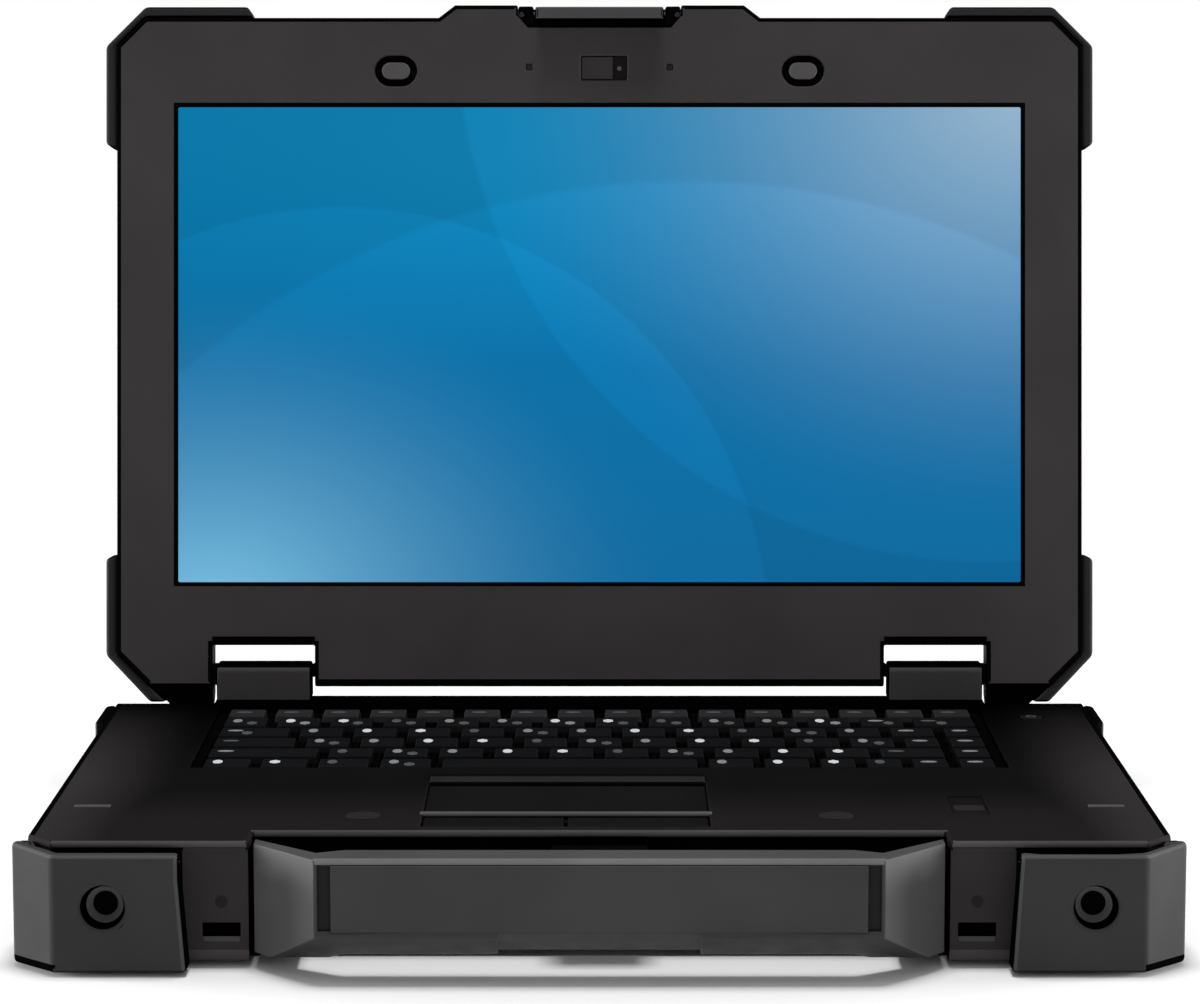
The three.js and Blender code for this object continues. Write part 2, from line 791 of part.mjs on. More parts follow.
function buildHandle() {
  const rootOuter = recessHalfWidth - fitGap;
  const rootInner = rootOuter - handleArmWidth;
  const barInner = handleBarHalfWidth - handleArmWidth / 2;
  const bow = prismZ(bothHalves([
    [handleBarHalfWidth, handleFace],
    [rootOuter, -caseDepth],
    [rootOuter, handleRoot],
    [rootInner, handleRoot],
    [rootInner, -caseDepth],
    [barInner, handleBack],
  ]), handleArmBottom, handleTop);
  const slope = (handleFaceBottom - handleUnderside) / handleBarDepth;
  const slopeAt = (y) => handleUnderside + (handleBack - y) * slope;
  const cutFloor = handleArmBottom - overrun;
  const underCut = prismX([
    [handleFace - overrun, cutFloor],
    [handleBack + (handleUnderside - cutFloor) / slope, cutFloor],
    [handleFace - overrun, slopeAt(handleFace - overrun)],
  ], -rootOuter - overrun, rootOuter + overrun);
  const topEdge = prismX([
    [handleFace - overrun, handleTop - handleEdgeRound],
    [handleFace, handleTop - handleEdgeRound],
    [handleFace + handleEdgeRound, handleTop],
    [handleFace + handleEdgeRound, handleTop + overrun],
    [handleFace - overrun, handleTop + overrun],
  ], -handleBarHalfWidth, handleBarHalfWidth);
  const relief = prismX([
    [handleFace - overrun, slopeAt(handleFace - overrun) - overrun],
    [handleBack + overrun, slopeAt(handleBack + overrun) - overrun],
    [handleBack + overrun, slopeAt(handleBack + overrun) + handleReliefHeight],
    [handleFace - overrun, slopeAt(handleFace - overrun) + handleReliefHeight],
  ], -handleReliefHalfWidth, handleReliefHalfWidth);
  const gripRecess = block(-gripRecessHalfWidth, gripRecessHalfWidth,
    handleFace - overrun, handleFace + gripRecessDepth,
    handleFaceBottom + handleReliefHeight, handleTop - gripTopMargin);
  const armStep = prismZ([
    [handleBarHalfWidth, handleFace + handleRimAtBar],
    [rootOuter + overrun, handleRimAtRoot - caseDepth],
    [rootOuter + overrun, handleRoot + overrun],
    [barInner - overrun, handleRoot + overrun],
    [barInner - overrun, handleBack],
  ], handleTop - handleStepDrop, handleTop + overrun);
  return cut(bow, underCut, topEdge, relief, gripRecess, armStep, mirroredBody(armStep));
}

function buildGrip() {
  const back = handleFace + gripRecessDepth - fitGap;
  return block(-gripHalfWidth, gripHalfWidth, back - gripThickness, back,
    handleFaceBottom + handleReliefHeight + fitGap, handleTop - gripTopMargin - fitGap);
}

addTo(laptop, 'carry_handle', buildHandle(), handleFinish);
addTo(laptop, 'handle_grip', buildGrip(), rubberFinish);

// Latch keeper: a steel angle on the recess wall, hooked by the lid's latch

function buildKeeper() {
  const wallSide = recessFront - fitGap;
  const top = deckTop - keeperDrop;
  return joined(
    block(-keeperHalfWidth, keeperHalfWidth, wallSide - keeperReach, wallSide,
      top - keeperThickness, top),
    block(-keeperHalfWidth, keeperHalfWidth, wallSide - keeperThickness, wallSide,
      top - keeperHeight, top));
}

addTo(laptop, 'latch_keeper', buildKeeper(), steelFinish);

// Keyboard: rows of key caps, each on a thin carrier, standing through a grid plate

function repeated(count, width) {
  return Array.from({ length: count }, () => width);
}

const fieldWidth = 2 * keyFieldHalfWidth;
const spaceRight = spaceLeft + spaceWidth;

function lastKey(widths, end) {
  return end - widths.reduce((sum, width) => sum + width, 0);
}

function filledRow(widths, tail) {
  return [...widths, lastKey([...widths, ...tail], fieldWidth), ...tail];
}

const letterKeys = (count) => repeated(count, keyPitch);
const rightColumn = [rightColumnShare * keyPitch];
const controlKeys = [
  ...repeated(keysPerPair, controlShare * keyPitch),
  ...repeated(keysPerPair, modifierShare * keyPitch),
  spaceWidth,
  ...repeated(keysPerPair, keyPitch),
  ...repeated(keysPerPair, arrowShare * keyPitch),
];
const keyRows = [
  { name: 'key_row_function', widths: repeated(functionKeyCount, fieldWidth / functionKeyCount) },
  { name: 'key_row_number', widths: filledRow(letterKeys(numberKeyCount), []) },
  { name: 'key_row_upper', widths: filledRow([tabShare * keyPitch, ...letterKeys(upperKeyCount)], []) },
  {
    name: 'key_row_middle',
    widths: filledRow([capsShare * keyPitch, ...letterKeys(middleKeyCount)], rightColumn),
  },
  {
    name: 'key_row_lower',
    widths: filledRow([shiftShare * keyPitch, ...letterKeys(lowerKeyCount)], rightColumn),
  },
  { name: 'key_row_control', widths: filledRow(controlKeys, rightColumn) },
];

const firstFullRowRear = -keyboardRear - keyGap - functionKeyDepth - keyGap;
const fullKeyDepth = keyRowPitch - keyGap;

function rowSpan(row) {
  if (row === 0) {
    return [-keyboardRear - keyGap - functionKeyDepth, -keyboardRear - keyGap];
  }
  const rear = firstFullRowRear - (row - 1) * keyRowPitch;
  return [rear - fullKeyDepth, rear];
}

function keyPlaces(row) {
  const [front, rear] = rowSpan(row);
  let left = -keyFieldHalfWidth;
  return keyRows[row].widths.map((width) => {
    const place = { x0: left + keyGap / 2, x1: left + width - keyGap / 2, y0: front, y1: rear };
    left += width;
    return place;
  });
}

const controlRow = keyRows.length - 1;
const isSpace = (place) => place.x0 > spaceLeft && place.x1 < spaceRight;
const spacePlace = keyPlaces(controlRow).find(isSpace);

function carrierSpan(row) {
  const [front, rear] = rowSpan(row);
  if (row === controlRow) {
    return [front + runningGap, front + runningGap + carrierDepth / 2];
  }
  return [(front + rear - carrierDepth) / 2, (front + rear + carrierDepth) / 2];
}

function buildKeyRow(row) {
  const places = keyPlaces(row).filter((place) => !(row === controlRow && isSpace(place)));
  const [y0, y1] = carrierSpan(row);
  const carrier = block(places[0].x0, places[places.length - 1].x1, y0, y1,
    carrierBottom, carrierBottom + carrierThickness);
  return joined(carrier, ...places.map((place) => taperedBlock(place.x0, place.x1, place.y0,
    place.y1, keyBottom, keyTop, keyTopInset)));
}

function buildSpaceBar() {
  const { x0, x1, y0, y1 } = spacePlace;
  const stemFront = carrierSpan(controlRow)[1] + keyGap;
  return joined(
    taperedBlock(x0, x1, y0, y1, keyTop - spaceCapHeight, keyTop, keyTopInset),
    block(x0 + keyTopInset, x1 - keyTopInset, stemFront, y1 - keyTopInset,
      carrierBottom, keyTop - spaceCapHeight + carrierOverlap));
}

function buildKeyboardFrame() {
  const outerX = keyboardHalfWidth + frameMargin;
  const outerRear = frameMargin - keyboardRear;
  const outerFront = keyboardFront - frameMargin;
  const skirtInner = outerX - frameSkirtWidth;
  const skirt = cut(
    block(-outerX, outerX, outerFront, outerRear, frameSkirtBottom,
      framePlateBottom + carrierOverlap),
    block(-skirtInner, skirtInner, outerFront + frameSkirtWidth, outerRear - frameSkirtWidth,
      frameSkirtBottom - overrun, framePlateBottom + overrun));
  const holes = keyRows.flatMap((_, row) => keyPlaces(row)).map((place) => block(
    place.x0 - runningGap, place.x1 + runningGap, place.y0 - runningGap, place.y1 + runningGap,
    framePlateBottom - overrun, frameTop + overrun));
  const plate = block(-outerX, outerX, outerFront, outerRear, framePlateBottom, frameTop);
  return cut(joined(plate, skirt), ...holes);
}

addTo(laptop, 'keyboard_frame', buildKeyboardFrame(), deckFinish);
keyRows.forEach((row, index) => addTo(laptop, row.name, buildKeyRow(index), keyFinish));
addTo(laptop, 'space_bar', buildSpaceBar(), keyFinish);

// Touchpad, its two buttons, the fingerprint reader and the power button

const touchpadMiddle = (touchpadLeft + touchpadRight) / 2;

addTo(laptop, 'touchpad', block(touchpadLeft + fitGap, touchpadRight - fitGap,
  touchpadFront + fitGap, touchpadRear - fitGap,
  deckTop - touchpadDrop - touchpadThickness, deckTop - touchpadDrop), plasticFinish);

function buildPadButton(x0, x1) {
  const top = deckTop - padButtonDrop;
  return taperedBlock(x0, x1, padButtonFront + fitGap, padButtonRear - fitGap,
    top - padButtonHeight, top, fitGap);
}

addTo(laptop, 'touchpad_button_left',
  buildPadButton(touchpadLeft + fitGap, touchpadMiddle - fitGap), plasticFinish);
addTo(laptop, 'touchpad_button_right',
  buildPadButton(touchpadMiddle + fitGap, touchpadRight - fitGap), plasticFinish);

const readerTop = deckTop - fingerprintDrop;
addTo(laptop, 'fingerprint_reader', block(fingerprintX - fingerprintWidth / 2,
  fingerprintX + fingerprintWidth / 2, fingerprintFront, fingerprintRear,
  readerTop - fingerprintThickness, readerTop), plasticFinish);

const powerTop = deckTop + powerButtonRise;
addTo(laptop, 'power_button', rodZ(powerButtonX, -powerButtonRear, powerButtonRadius,
  powerTop - powerButtonHeight, powerTop), plasticFinish);

// Hinge towers on the base and the pins that carry the lid

const hingeHeight = deckTop + hingeRise;

function buildTower() {
  const foot = deckTop + fitGap;
  const front = hingeBack - towerHalfDepth;
  const back = hingeBack + towerHalfDepth;
  const top = hingeHeight + towerTopRise;
  const shoulder = top - towerEdgeRadius;
  const tower = joined(
    block(towerInner, towerOuter, front, back, foot, shoulder),
    block(towerInner, towerOuter, front + towerEdgeRadius, back - towerEdgeRadius, foot, top),
    rodX(front + towerEdgeRadius, shoulder, towerEdgeRadius, towerInner, towerOuter),
    rodX(back - towerEdgeRadius, shoulder, towerEdgeRadius, towerInner, towerOuter));
  return cut(tower, rodX(hingeBack, hingeHeight, hingePinRadius + fitGap,
    towerOuter - hingePinInTower - fitGap, towerOuter + overrun));
}

function buildHingePin() {
  return rodX(hingeBack, hingeHeight, hingePinRadius, towerOuter - hingePinInTower,
    notchOuter + hingePinInLid);
}

addPair(laptop, 'hinge_tower', buildTower(), plasticFinish);
addPair(laptop, 'hinge_pin', buildHingePin(), steelFinish);

// Main board with edge connectors, heat sink, fan, memory, battery and storage

function buildMainBoard() {
  const connectors = [-1, 1].flatMap((side) => Array.from({ length: connectorCount }, (_, i) => {
    const middle = -doorRear - doorLength / 2 + (i - (connectorCount - 1) / 2) * connectorPitch;
    const outer = side * boardHalfWidth;
    const inner = outer - side * connectorWidth;
    return block(Math.min(outer, inner), Math.max(outer, inner), middle - connectorDepth / 2,
      middle + connectorDepth / 2, boardTop - carrierOverlap, boardTop + connectorHeight);
  }));
  const processor = block(processorX - processorSide / 2, processorX + processorSide / 2,
    -processorRear - processorSide / 2, -processorRear + processorSide / 2,
    boardTop - carrierOverlap, boardTop + processorHeight);
  return joined(block(-boardHalfWidth, boardHalfWidth, boardFront, -boardRear, boardBottom,
    boardTop), processor, ...connectors);
}

function buildHeatSink() {
  const bottom = boardTop + processorHeight + fitGap;
  const baseTop = bottom + heatSinkBase;
  const front = -processorRear - processorSide / 2;
  const rear = rearOverhang - caseWall - overrun;
  const left = processorX - heatSinkHalfWidth;
  const right = processorX + heatSinkHalfWidth;
  const finStep = (right - left - finThickness) / (finCount - 1);
  const fins = Array.from({ length: finCount }, (_, i) => block(left + i * finStep,
    left + i * finStep + finThickness, rear - heatSinkDepth, rear, baseTop - carrierOverlap,
    frameSkirtBottom - finTopGap));
  return joined(block(left, right, front, rear, bottom, baseTop), ...fins);
}

const fanBottom = boardTop + fitGap;
const fanBladeRadius = fanSide / 2 - fanWall - fanBladeGap;

function buildFanHousing() {
  const half = fanSide / 2;
  const opening = fanBladeRadius + runningGap;
  const floorLevel = fanBottom + fanWall;
  const shell = cut(
    block(fanX - half, fanX + half, -fanRear - half, -fanRear + half, fanBottom, fanBottom + fanHeight),
    rodZ(fanX, -fanRear, opening, floorLevel, fanBottom + fanHeight + overrun),
    block(fanX - half - overrun, fanX, -fanRear, -fanRear + opening, floorLevel,
      fanBottom + fanHeight - fanWall));
  return joined(shell, rodZ(fanX, -fanRear, fanShaftRadius, floorLevel - carrierOverlap,
    floorLevel + fanBladeHeight));
}

function buildFanRotor() {
  const bottom = fanBottom + fanWall + fitGap;
  const top = bottom + fanBladeHeight;
  const blades = Array.from({ length: fanBladeCount }, (_, i) => {
    const geometry = new THREE.BoxGeometry(fanBladeRadius - fanHubRadius / 2, fanBladeThickness,
      fanBladeHeight);
    geometry.translate((fanBladeRadius + fanHubRadius / 2) / 2, 0, (bottom + top) / 2);
    geometry.rotateZ(i * 2 * Math.PI / fanBladeCount);
    geometry.translate(fanX, -fanRear, 0);
    return solid(geometry);
  });
  return cut(joined(rodZ(fanX, -fanRear, fanHubRadius, bottom, top), ...blades),
    rodZ(fanX, -fanRear, fanShaftRadius + fitGap, bottom - overrun, top + overrun));
}

const batteryFront = recessFront + caseWall + batteryFrontMargin;
const driveOuter = caseHalfWidth - caseWall - driveSideGap;
const batteryHalfWidth = driveOuter - driveWidth - batterySideGap;
const memoryLeft = fanX + fanSide / 2 + memorySideGap;
const memoryRight = boardHalfWidth - connectorWidth - memoryEndGap;

addTo(laptop, 'main_board', buildMainBoard(), boardFinish);
addTo(laptop, 'heat_sink', buildHeatSink(), copperFinish);
addTo(laptop, 'fan_housing', buildFanHousing(), darkMetalFinish);
addTo(laptop, 'fan_rotor', buildFanRotor(), plasticFinish);
addTo(laptop, 'memory_module', block(memoryLeft, memoryRight,
  -memoryRear - memoryDepth, -memoryRear, boardTop + fitGap, boardTop + fitGap + memoryThickness),
  boardFinish);
addTo(laptop, 'battery_pack', block(-batteryHalfWidth, batteryHalfWidth, batteryFront,
  boardFront - batteryRearGap, floorTop + fitGap, floorTop + fitGap + batteryHeight),
  plasticFinish);
addTo(laptop, 'storage_drive', block(driveOuter - driveWidth, driveOuter,
  driveFrontGap - caseDepth, boardFront - driveRearGap, floorTop + fitGap,
  floorTop + fitGap + driveHeight), darkMetalFinish);

const speakerInner = recessHalfWidth + caseWall + fitGap;
addPair(laptop, 'speaker', block(speakerInner, speakerInner + speakerWidth,
  caseWall + fitGap - caseDepth, caseWall + fitGap + speakerDepth - caseDepth,
  speakerBottom, speakerBottom + speakerHeight), plasticFinish);

// Side port doors: flush flaps that swing out on an upright pin at their rear edge

function buildPortDoor() {
  const outer = caseHalfWidth;
  const inner = outer - doorThickness;
  const pivotX = (outer + inner) / 2;
  const rear = -doorRear;
  const pivotY = rear - doorThickness / 2;
  return joined(
    block(inner, outer, doorFront, pivotY, doorBottom, doorBottom + doorHeight),
    rodZ(pivotX, pivotY, doorThickness / 2, doorBottom, doorBottom + doorHeight));
}

addPair(laptop, 'port_door', buildPortDoor(), caseFinish);

// Rubber feet and the sliding battery latch in the underside

const footPlaces = { front: -footFrontPlace, rear: -footRearPlace };
for (const [end, y] of Object.entries(footPlaces)) {
  addPair(laptop, `foot_${end}`, block(footX - footLength / 2, footX + footLength / 2,
    y - footWidth / 2, y + footWidth / 2, caseBottom + footPocketDepth - fitGap - footHeight,
    caseBottom + footPocketDepth - fitGap), rubberFinish);
}

addTo(laptop, 'battery_latch', block(batteryLatchX - batteryLatchLength / 2,
  batteryLatchX + batteryLatchLength / 2, -batteryLatchPlace - batteryLatchWidth / 2,
  -batteryLatchPlace + batteryLatchWidth / 2, caseBottom + fitGap,
  caseBottom + fitGap + batteryLatchThickness), plasticFinish);

// Lid pieces are drawn upright about the hinge axis: Y is depth, Z is height above the axis

const lidOutline = bothHalves([
  [notchInner, -lidBottom],
  [notchInner, notchTop],
  [notchOuter, notchTop],
  [notchOuter, -lidCornerBottom],
  [caseHalfWidth - lidCornerCut, -lidCornerBottom],
  [caseHalfWidth, lidCornerCut - lidCornerBottom],
  [caseHalfWidth, lidTop - lidTopCut],
  [caseHalfWidth - lidTopCut, lidTop],
  [latchSlopeHalfWidth, lidTop],
  [latchTopHalfWidth, latchTop],
]);

// The lower edge is bevelled front and back so that it swings clear of the deck
function bottomBevels(x0, x1, bottom, frontInset, backRise) {
  const front = prismX([
    [-halfLid - overrun, -bevelTop],
    [-halfLid, -bevelTop],
    [frontInset - halfLid, -bottom],
    [frontInset - halfLid, -bottom - overrun],
    [-halfLid - overrun, -bottom - overrun],
  ], x0, x1);
  const back = prismX([
    [halfLid + overrun, backRise - bottom],
    [halfLid + overrun, -bottom - overrun],
    [halfLid - backRise, -bottom - overrun],
    [halfLid - backRise, -bottom],
    [halfLid, backRise - bottom],
  ], x0, x1);
  return [front, back];
}

function buildLidEnvelope() {
  const notchMiddle = (notchInner + notchOuter) / 2;
  const corner = bottomBevels(notchMiddle, caseHalfWidth + overrun, lidCornerBottom,
    cornerBevelInset, cornerBackBevelRise);
  const centre = bottomBevels(-notchMiddle, notchMiddle, lidBottom, centreBevelInset,
    centreBackBevelRise);
  return cut(prismY(lidOutline, -halfLid, halfLid), ...corner, ...corner.map(mirroredBody),
    ...centre);
}

const lidEnvelope = buildLidEnvelope();
const envelopeHalf = caseHalfWidth + overrun;
const latchRecess = block(-latchRecessHalfWidth, latchRecessHalfWidth, -halfLid - overrun,
  latchRecessDepth - halfLid, latchRecessBottom, latchTop + overrun);

function buildLidShell() {
  const slab = block(-envelopeHalf, envelopeHalf, shellFront, halfLid + overrun,
    -lidCornerBottom - overrun, latchTop + overrun);
  const cavityX = caseHalfWidth - lidSideWall;
  const cavityTop = lidTop - lidTopWall;
  const cavity = prismY(bothHalves([
    [cavityX, cornerBlockTop],
    [cavityX, cavityTop - cavityCornerCut],
    [cavityX - cavityCornerCut, cavityTop],
  ]), shellFront - overrun, cavityBack);
  const armSlot = block(bracketArmInner - fitGap, bracketArmInner + bracketArmWidth + fitGap,
    shellFront - overrun, cavityBack, -bracketEyeRadius - 2 * fitGap, cornerBlockTop + overrun);
  const pinBore = rodX(0, 0, hingePinRadius + fitGap, notchOuter - overrun,
    notchOuter + hingePinInLid + fitGap);
  const trunnionBore = rodX(leverPivot.x, leverPivot.y, leverTrunnionRadius + fitGap,
    -leverHalfWidth - leverTrunnionLength - fitGap, leverHalfWidth + leverTrunnionLength + fitGap);
  return cut(lidEnvelope.intersect(slab), cavity, armSlot, mirroredBody(armSlot), pinBore,
    mirroredBody(pinBore), latchRecess, trunnionBore);
}

function buildBezel() {
  const slab = block(-envelopeHalf, envelopeHalf, -halfLid - overrun, bezelBack,
    -lidCornerBottom - overrun, latchTop + overrun);
  const screen = block(-screenHalfWidth, screenHalfWidth, -halfLid - overrun, bezelBack + overrun,
    screenBottom, screenTop);
  const cameraWindow = block(cameraLeft, cameraLeft + cameraWindowWidth, -halfLid - overrun,
    bezelBack + overrun, cameraWindowBottom, cameraWindowBottom + cameraWindowHeight);
  const padRecess = ovalY(bezelPadX, bezelPadHeight, bezelPadLength + 2 * bezelPadMargin,
    bezelPadWidth + 2 * bezelPadMargin, -halfLid - overrun, bezelPadRecess - halfLid);
  const microphone = block(microphoneX - microphoneWidth / 2, microphoneX + microphoneWidth / 2,
    -halfLid - overrun, bezelPadRecess - halfLid, microphoneHeight - microphoneWidth / 2,
    microphoneHeight + microphoneWidth / 2);
  return cut(lidEnvelope.intersect(slab), screen, cameraWindow, padRecess,
    mirroredBody(padRecess), microphone, mirroredBody(microphone), latchRecess);
}

addTo(lid, 'lid_shell', buildLidShell(), caseFinish);
addTo(lid, 'screen_bezel', buildBezel(), bezelFinish);

// Display glass and the panel behind it

const glassBack = shellFront + glassThickness;
const glassHalfWidth = screenHalfWidth + screenOverlap;
addTo(lid, 'display_glass', block(-glassHalfWidth, glassHalfWidth, shellFront, glassBack,
  screenBottom - screenOverlap, screenTop + screenOverlap), glassFinish);
addTo(lid, 'lcd_panel', block(lcdInset - glassHalfWidth, glassHalfWidth - lcdInset,
  glassBack + fitGap, glassBack + fitGap + lcdThickness,
  screenBottom - screenOverlap + lcdInset, screenTop + screenOverlap - lcdInset),
  darkMetalFinish);

// Lid corner bumpers: a rim round each corner with a cap over the back of the lid

const rimInner = caseHalfWidth + fitGap;
const rimOuter = rimInner + lidBumperWidth - fitGap;
const rimFront = lidBumperFrontSetback - halfLid;
const rimBack = halfLid + lidBumperBackProud;
const capFront = halfLid + fitGap;

function buildTopLidBumper() {
  const top = lidTop + lidBumperWidth;
  const innerTop = lidTop + fitGap;
  const outer = [
    [rimOuter, lidBumperTopSide],
    [rimOuter, lidTop - lidTopCut],
    [rimOuter - lidTopCut - lidBumperWidth, top],
    [lidBumperTopInner, top],
  ];
  const rim = prismY([...outer,
    [lidBumperTopInner - lidBumperEndSlope, innerTop],
    [rimInner - lidTopCut, innerTop],
    [rimInner, innerTop - lidTopCut],
    [rimInner, lidBumperTopSide - lidBumperEndSlope],
  ], rimFront, rimBack);
  const cap = prismY([...outer,
    [lidBumperTopInner, lidTop - lidBumperCapReach],
    [rimInner - lidBumperCapReach, lidTop - lidBumperCapReach],
    [rimInner - lidBumperCapReach, lidBumperTopSide],
  ], capFront, rimBack);
  return joined(rim, cap);
}

function buildBottomLidBumper() {
  const outerCut = lidCornerCut - lidCornerBottom;
  const bottomShift = lidBumperBottomEnd + outerCut;
  const outer = [
    [rimOuter - bottomShift + lidBumperEndSlope, -lidBumperBottomEnd],
    [rimOuter, outerCut - lidBumperEndSlope / 2],
    [rimOuter, lidBumperBottomSide],
  ];
  const rim = prismY([...outer,
    [rimInner, lidBumperBottomSide + lidBumperEndSlope],
    [rimInner, outerCut],
    [rimInner - bottomShift, -lidBumperBottomEnd],
  ], rimFront, rimBack);
  const cap = prismY([
    [rimOuter, outerCut - lidBumperEndSlope / 2],
    [rimOuter, lidBumperBottomSide],
    [rimInner - lidBumperCapReach, lidBumperBottomSide],
    [rimInner - lidBumperCapReach, outerCut - lidBumperEndSlope / 2],
  ], capFront, rimBack);
  return joined(rim, cap);
}

addPair(lid, 'lid_bumper_top', buildTopLidBumper(), bumperFinish);
addPair(lid, 'lid_bumper_bottom', buildBottomLidBumper(), bumperFinish);

// Bezel pads, camera module and the sliding camera shutter

const padBack = bezelPadRecess - halfLid - fitGap;
const padFront = -halfLid - bezelPadProud;
addPair(lid, 'bezel_pad', ovalY(bezelPadX, bezelPadHeight, bezelPadLength, bezelPadWidth,
  padFront, padBack), rubberFinish);

const cameraMiddleHeight = cameraWindowBottom + cameraWindowHeight / 2;
const cameraModule = joined(
  block(cameraLeft - cameraModuleMargin, cameraLeft + cameraWindowWidth + cameraModuleMargin,
    shellFront, shellFront + cameraModuleThickness, cameraWindowBottom - cameraModuleMargin,
    cameraWindowBottom + cameraWindowHeight + cameraModuleMargin),
  rodY(cameraLensX, cameraMiddleHeight, cameraLensRadius, shellFront - fitGap - cameraLensProud,
    shellFront + carrierOverlap));
addTo(lid, 'camera_module', cameraModule, plasticFinish);

const shutterFront = shutterSetback - halfLid;
const shutterWidth = cameraWindowWidth - shutterTravel - 3 * fitGap;
addTo(lid, 'camera_shutter', block(cameraLeft + fitGap, cameraLeft + fitGap + shutterWidth,
  shutterFront, shutterFront + shutterThickness, cameraWindowBottom + fitGap,
  cameraWindowBottom + cameraWindowHeight - fitGap), bezelFinish);

// Lid hinge brackets: a plate on the lid's back with an eye round the hinge pin

function buildBracket() {
  const plateBack = cavityBack - fitGap;
  const plateFront = plateBack - bracketPlateThickness;
  const plateBottom = cornerBlockTop + fitGap;
  const plateOuter = caseHalfWidth - lidSideWall - bracketPlateSideGap;
  const armOuter = bracketArmInner + bracketArmWidth;
  const eye = rodX(0, 0, bracketEyeRadius, bracketArmInner, armOuter);
  const bore = rodX(0, 0, hingePinRadius + fitGap, bracketArmInner - overrun, armOuter + overrun);
  const arm = block(bracketArmInner, armOuter, plateFront, plateBack, 0,
    plateBottom + bracketPlateThickness);
  const plate = block(bracketArmInner, plateOuter, plateFront, plateBack, plateBottom,
    plateBottom + bracketPlateHeight);
  return cut(joined(eye, arm, plate), bore);
}

addPair(lid, 'lid_hinge_bracket', buildBracket(), steelFinish);

// Latch lever: a bar in the lid's top edge with a claw, turning on two trunnions

function buildLatchLever() {
  const front = leverFrontSetback - halfLid;
  const radius = (leverTop - leverBottom) / 2;
  const bar = joined(
    block(-leverHalfWidth, leverHalfWidth, front, leverPivot.x, leverBottom, leverTop),
    rodX(leverPivot.x, leverPivot.y, radius, -leverHalfWidth, leverHalfWidth));
  const trunnions = rodX(leverPivot.x, leverPivot.y, leverTrunnionRadius,
    -leverHalfWidth - leverTrunnionLength, leverHalfWidth + leverTrunnionLength);
  const tip = -halfLid - clawReach;
  const clawTop = leverPivot.y + clawThickness / 2;
  const clawBottom = clawTop - clawThickness;
  const claw = block(-clawHalfWidth, clawHalfWidth, tip, front + overrun, clawBottom, clawTop);
  const lip = block(-clawHalfWidth, clawHalfWidth, tip, tip + clawLipThickness,
    clawBottom - clawLipDrop, clawTop);
  return joined(bar, trunnions, claw, lip);
}

addTo(lid, 'latch_lever', buildLatchLever(), darkMetalFinish);

// Stand the whole laptop on the origin, centred in its own box
laptop.updateMatrixWorld(true);
const wholeBox = new THREE.Box3().setFromObject(laptop, true);
const middle = wholeBox.getCenter(new THREE.Vector3());
laptop.position.set(-middle.x, -middle.y, -wholeBox.min.z);

export default laptop;
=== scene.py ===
# Looks of a rugged clamshell laptop computer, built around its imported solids.
# Lengths are metres. X runs to the user's right, Y to the back, Z up from the table.

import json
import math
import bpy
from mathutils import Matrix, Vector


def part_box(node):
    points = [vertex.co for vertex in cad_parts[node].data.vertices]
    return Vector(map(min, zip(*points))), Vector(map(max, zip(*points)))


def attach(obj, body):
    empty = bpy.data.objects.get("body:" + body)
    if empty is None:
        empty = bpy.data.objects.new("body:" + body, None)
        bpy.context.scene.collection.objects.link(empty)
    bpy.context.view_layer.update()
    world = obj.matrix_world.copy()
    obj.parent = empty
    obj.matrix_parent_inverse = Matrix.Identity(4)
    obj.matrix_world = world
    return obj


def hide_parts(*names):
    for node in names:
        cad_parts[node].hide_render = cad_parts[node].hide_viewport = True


bl_info = {
    "name": "Rugged laptop looks", "version": (1, 0, 0), "blender": (4, 5, 0),
    "location": "3D Viewport > Sidebar > Laptop",
    "description": "Builds the visible pieces and materials of a rugged laptop computer",
    "category": "Object",
}

import bpy
from bpy.props import FloatProperty, FloatVectorProperty, PointerProperty
from mathutils import Matrix, Vector

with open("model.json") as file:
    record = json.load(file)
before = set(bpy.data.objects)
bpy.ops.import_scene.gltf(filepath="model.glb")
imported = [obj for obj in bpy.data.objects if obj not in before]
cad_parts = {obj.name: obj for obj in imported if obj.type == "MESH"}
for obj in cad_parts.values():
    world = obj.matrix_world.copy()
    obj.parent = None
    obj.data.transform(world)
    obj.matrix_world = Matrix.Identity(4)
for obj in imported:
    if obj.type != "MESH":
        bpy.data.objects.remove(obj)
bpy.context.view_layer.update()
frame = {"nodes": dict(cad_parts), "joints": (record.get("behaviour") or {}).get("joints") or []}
nodes = frame["nodes"]
joints = {joint["name"]: joint for joint in frame["joints"]}

MM = 0.001
NEAR = 0.02 * MM
SIDES = ("right", "left")
SIGN = {"right": 1, "left": -1}

# The lid leans back by this much past upright, and the camera looks down by as much
LID_LEAN = math.radians(7.46)
LID_PLACE = Matrix.Translation(joints["lid_hinge"]["pos_m"]) @ Matrix.Rotation(-LID_LEAN, 4, "X")
TO_LID = LID_PLACE.inverted()

# Lines and levels read from the solids
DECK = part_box("palmrest_deck")
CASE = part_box("lower_case")
DECK_TOP = DECK[1].z
DECK_FRONT = DECK[0].y
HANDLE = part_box("carry_handle")
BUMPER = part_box("front_bumper_right")
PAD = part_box("touchpad")
BUMPER_INSIDE = BUMPER[0].x
# Half the width of the gap that the handle stands in, its rear edge, and the slots beside it
HANDLE_GAP = 108.5 * MM
RECESS_EDGE = HANDLE[1].y + 2 * MM
SLOT_X = 116.6 * MM


def x_span(side, near, far):
    """The lowest and highest X of a stretch, given as distances to one side of the middle."""
    return sorted((SIGN[side] * near, SIGN[side] * far))


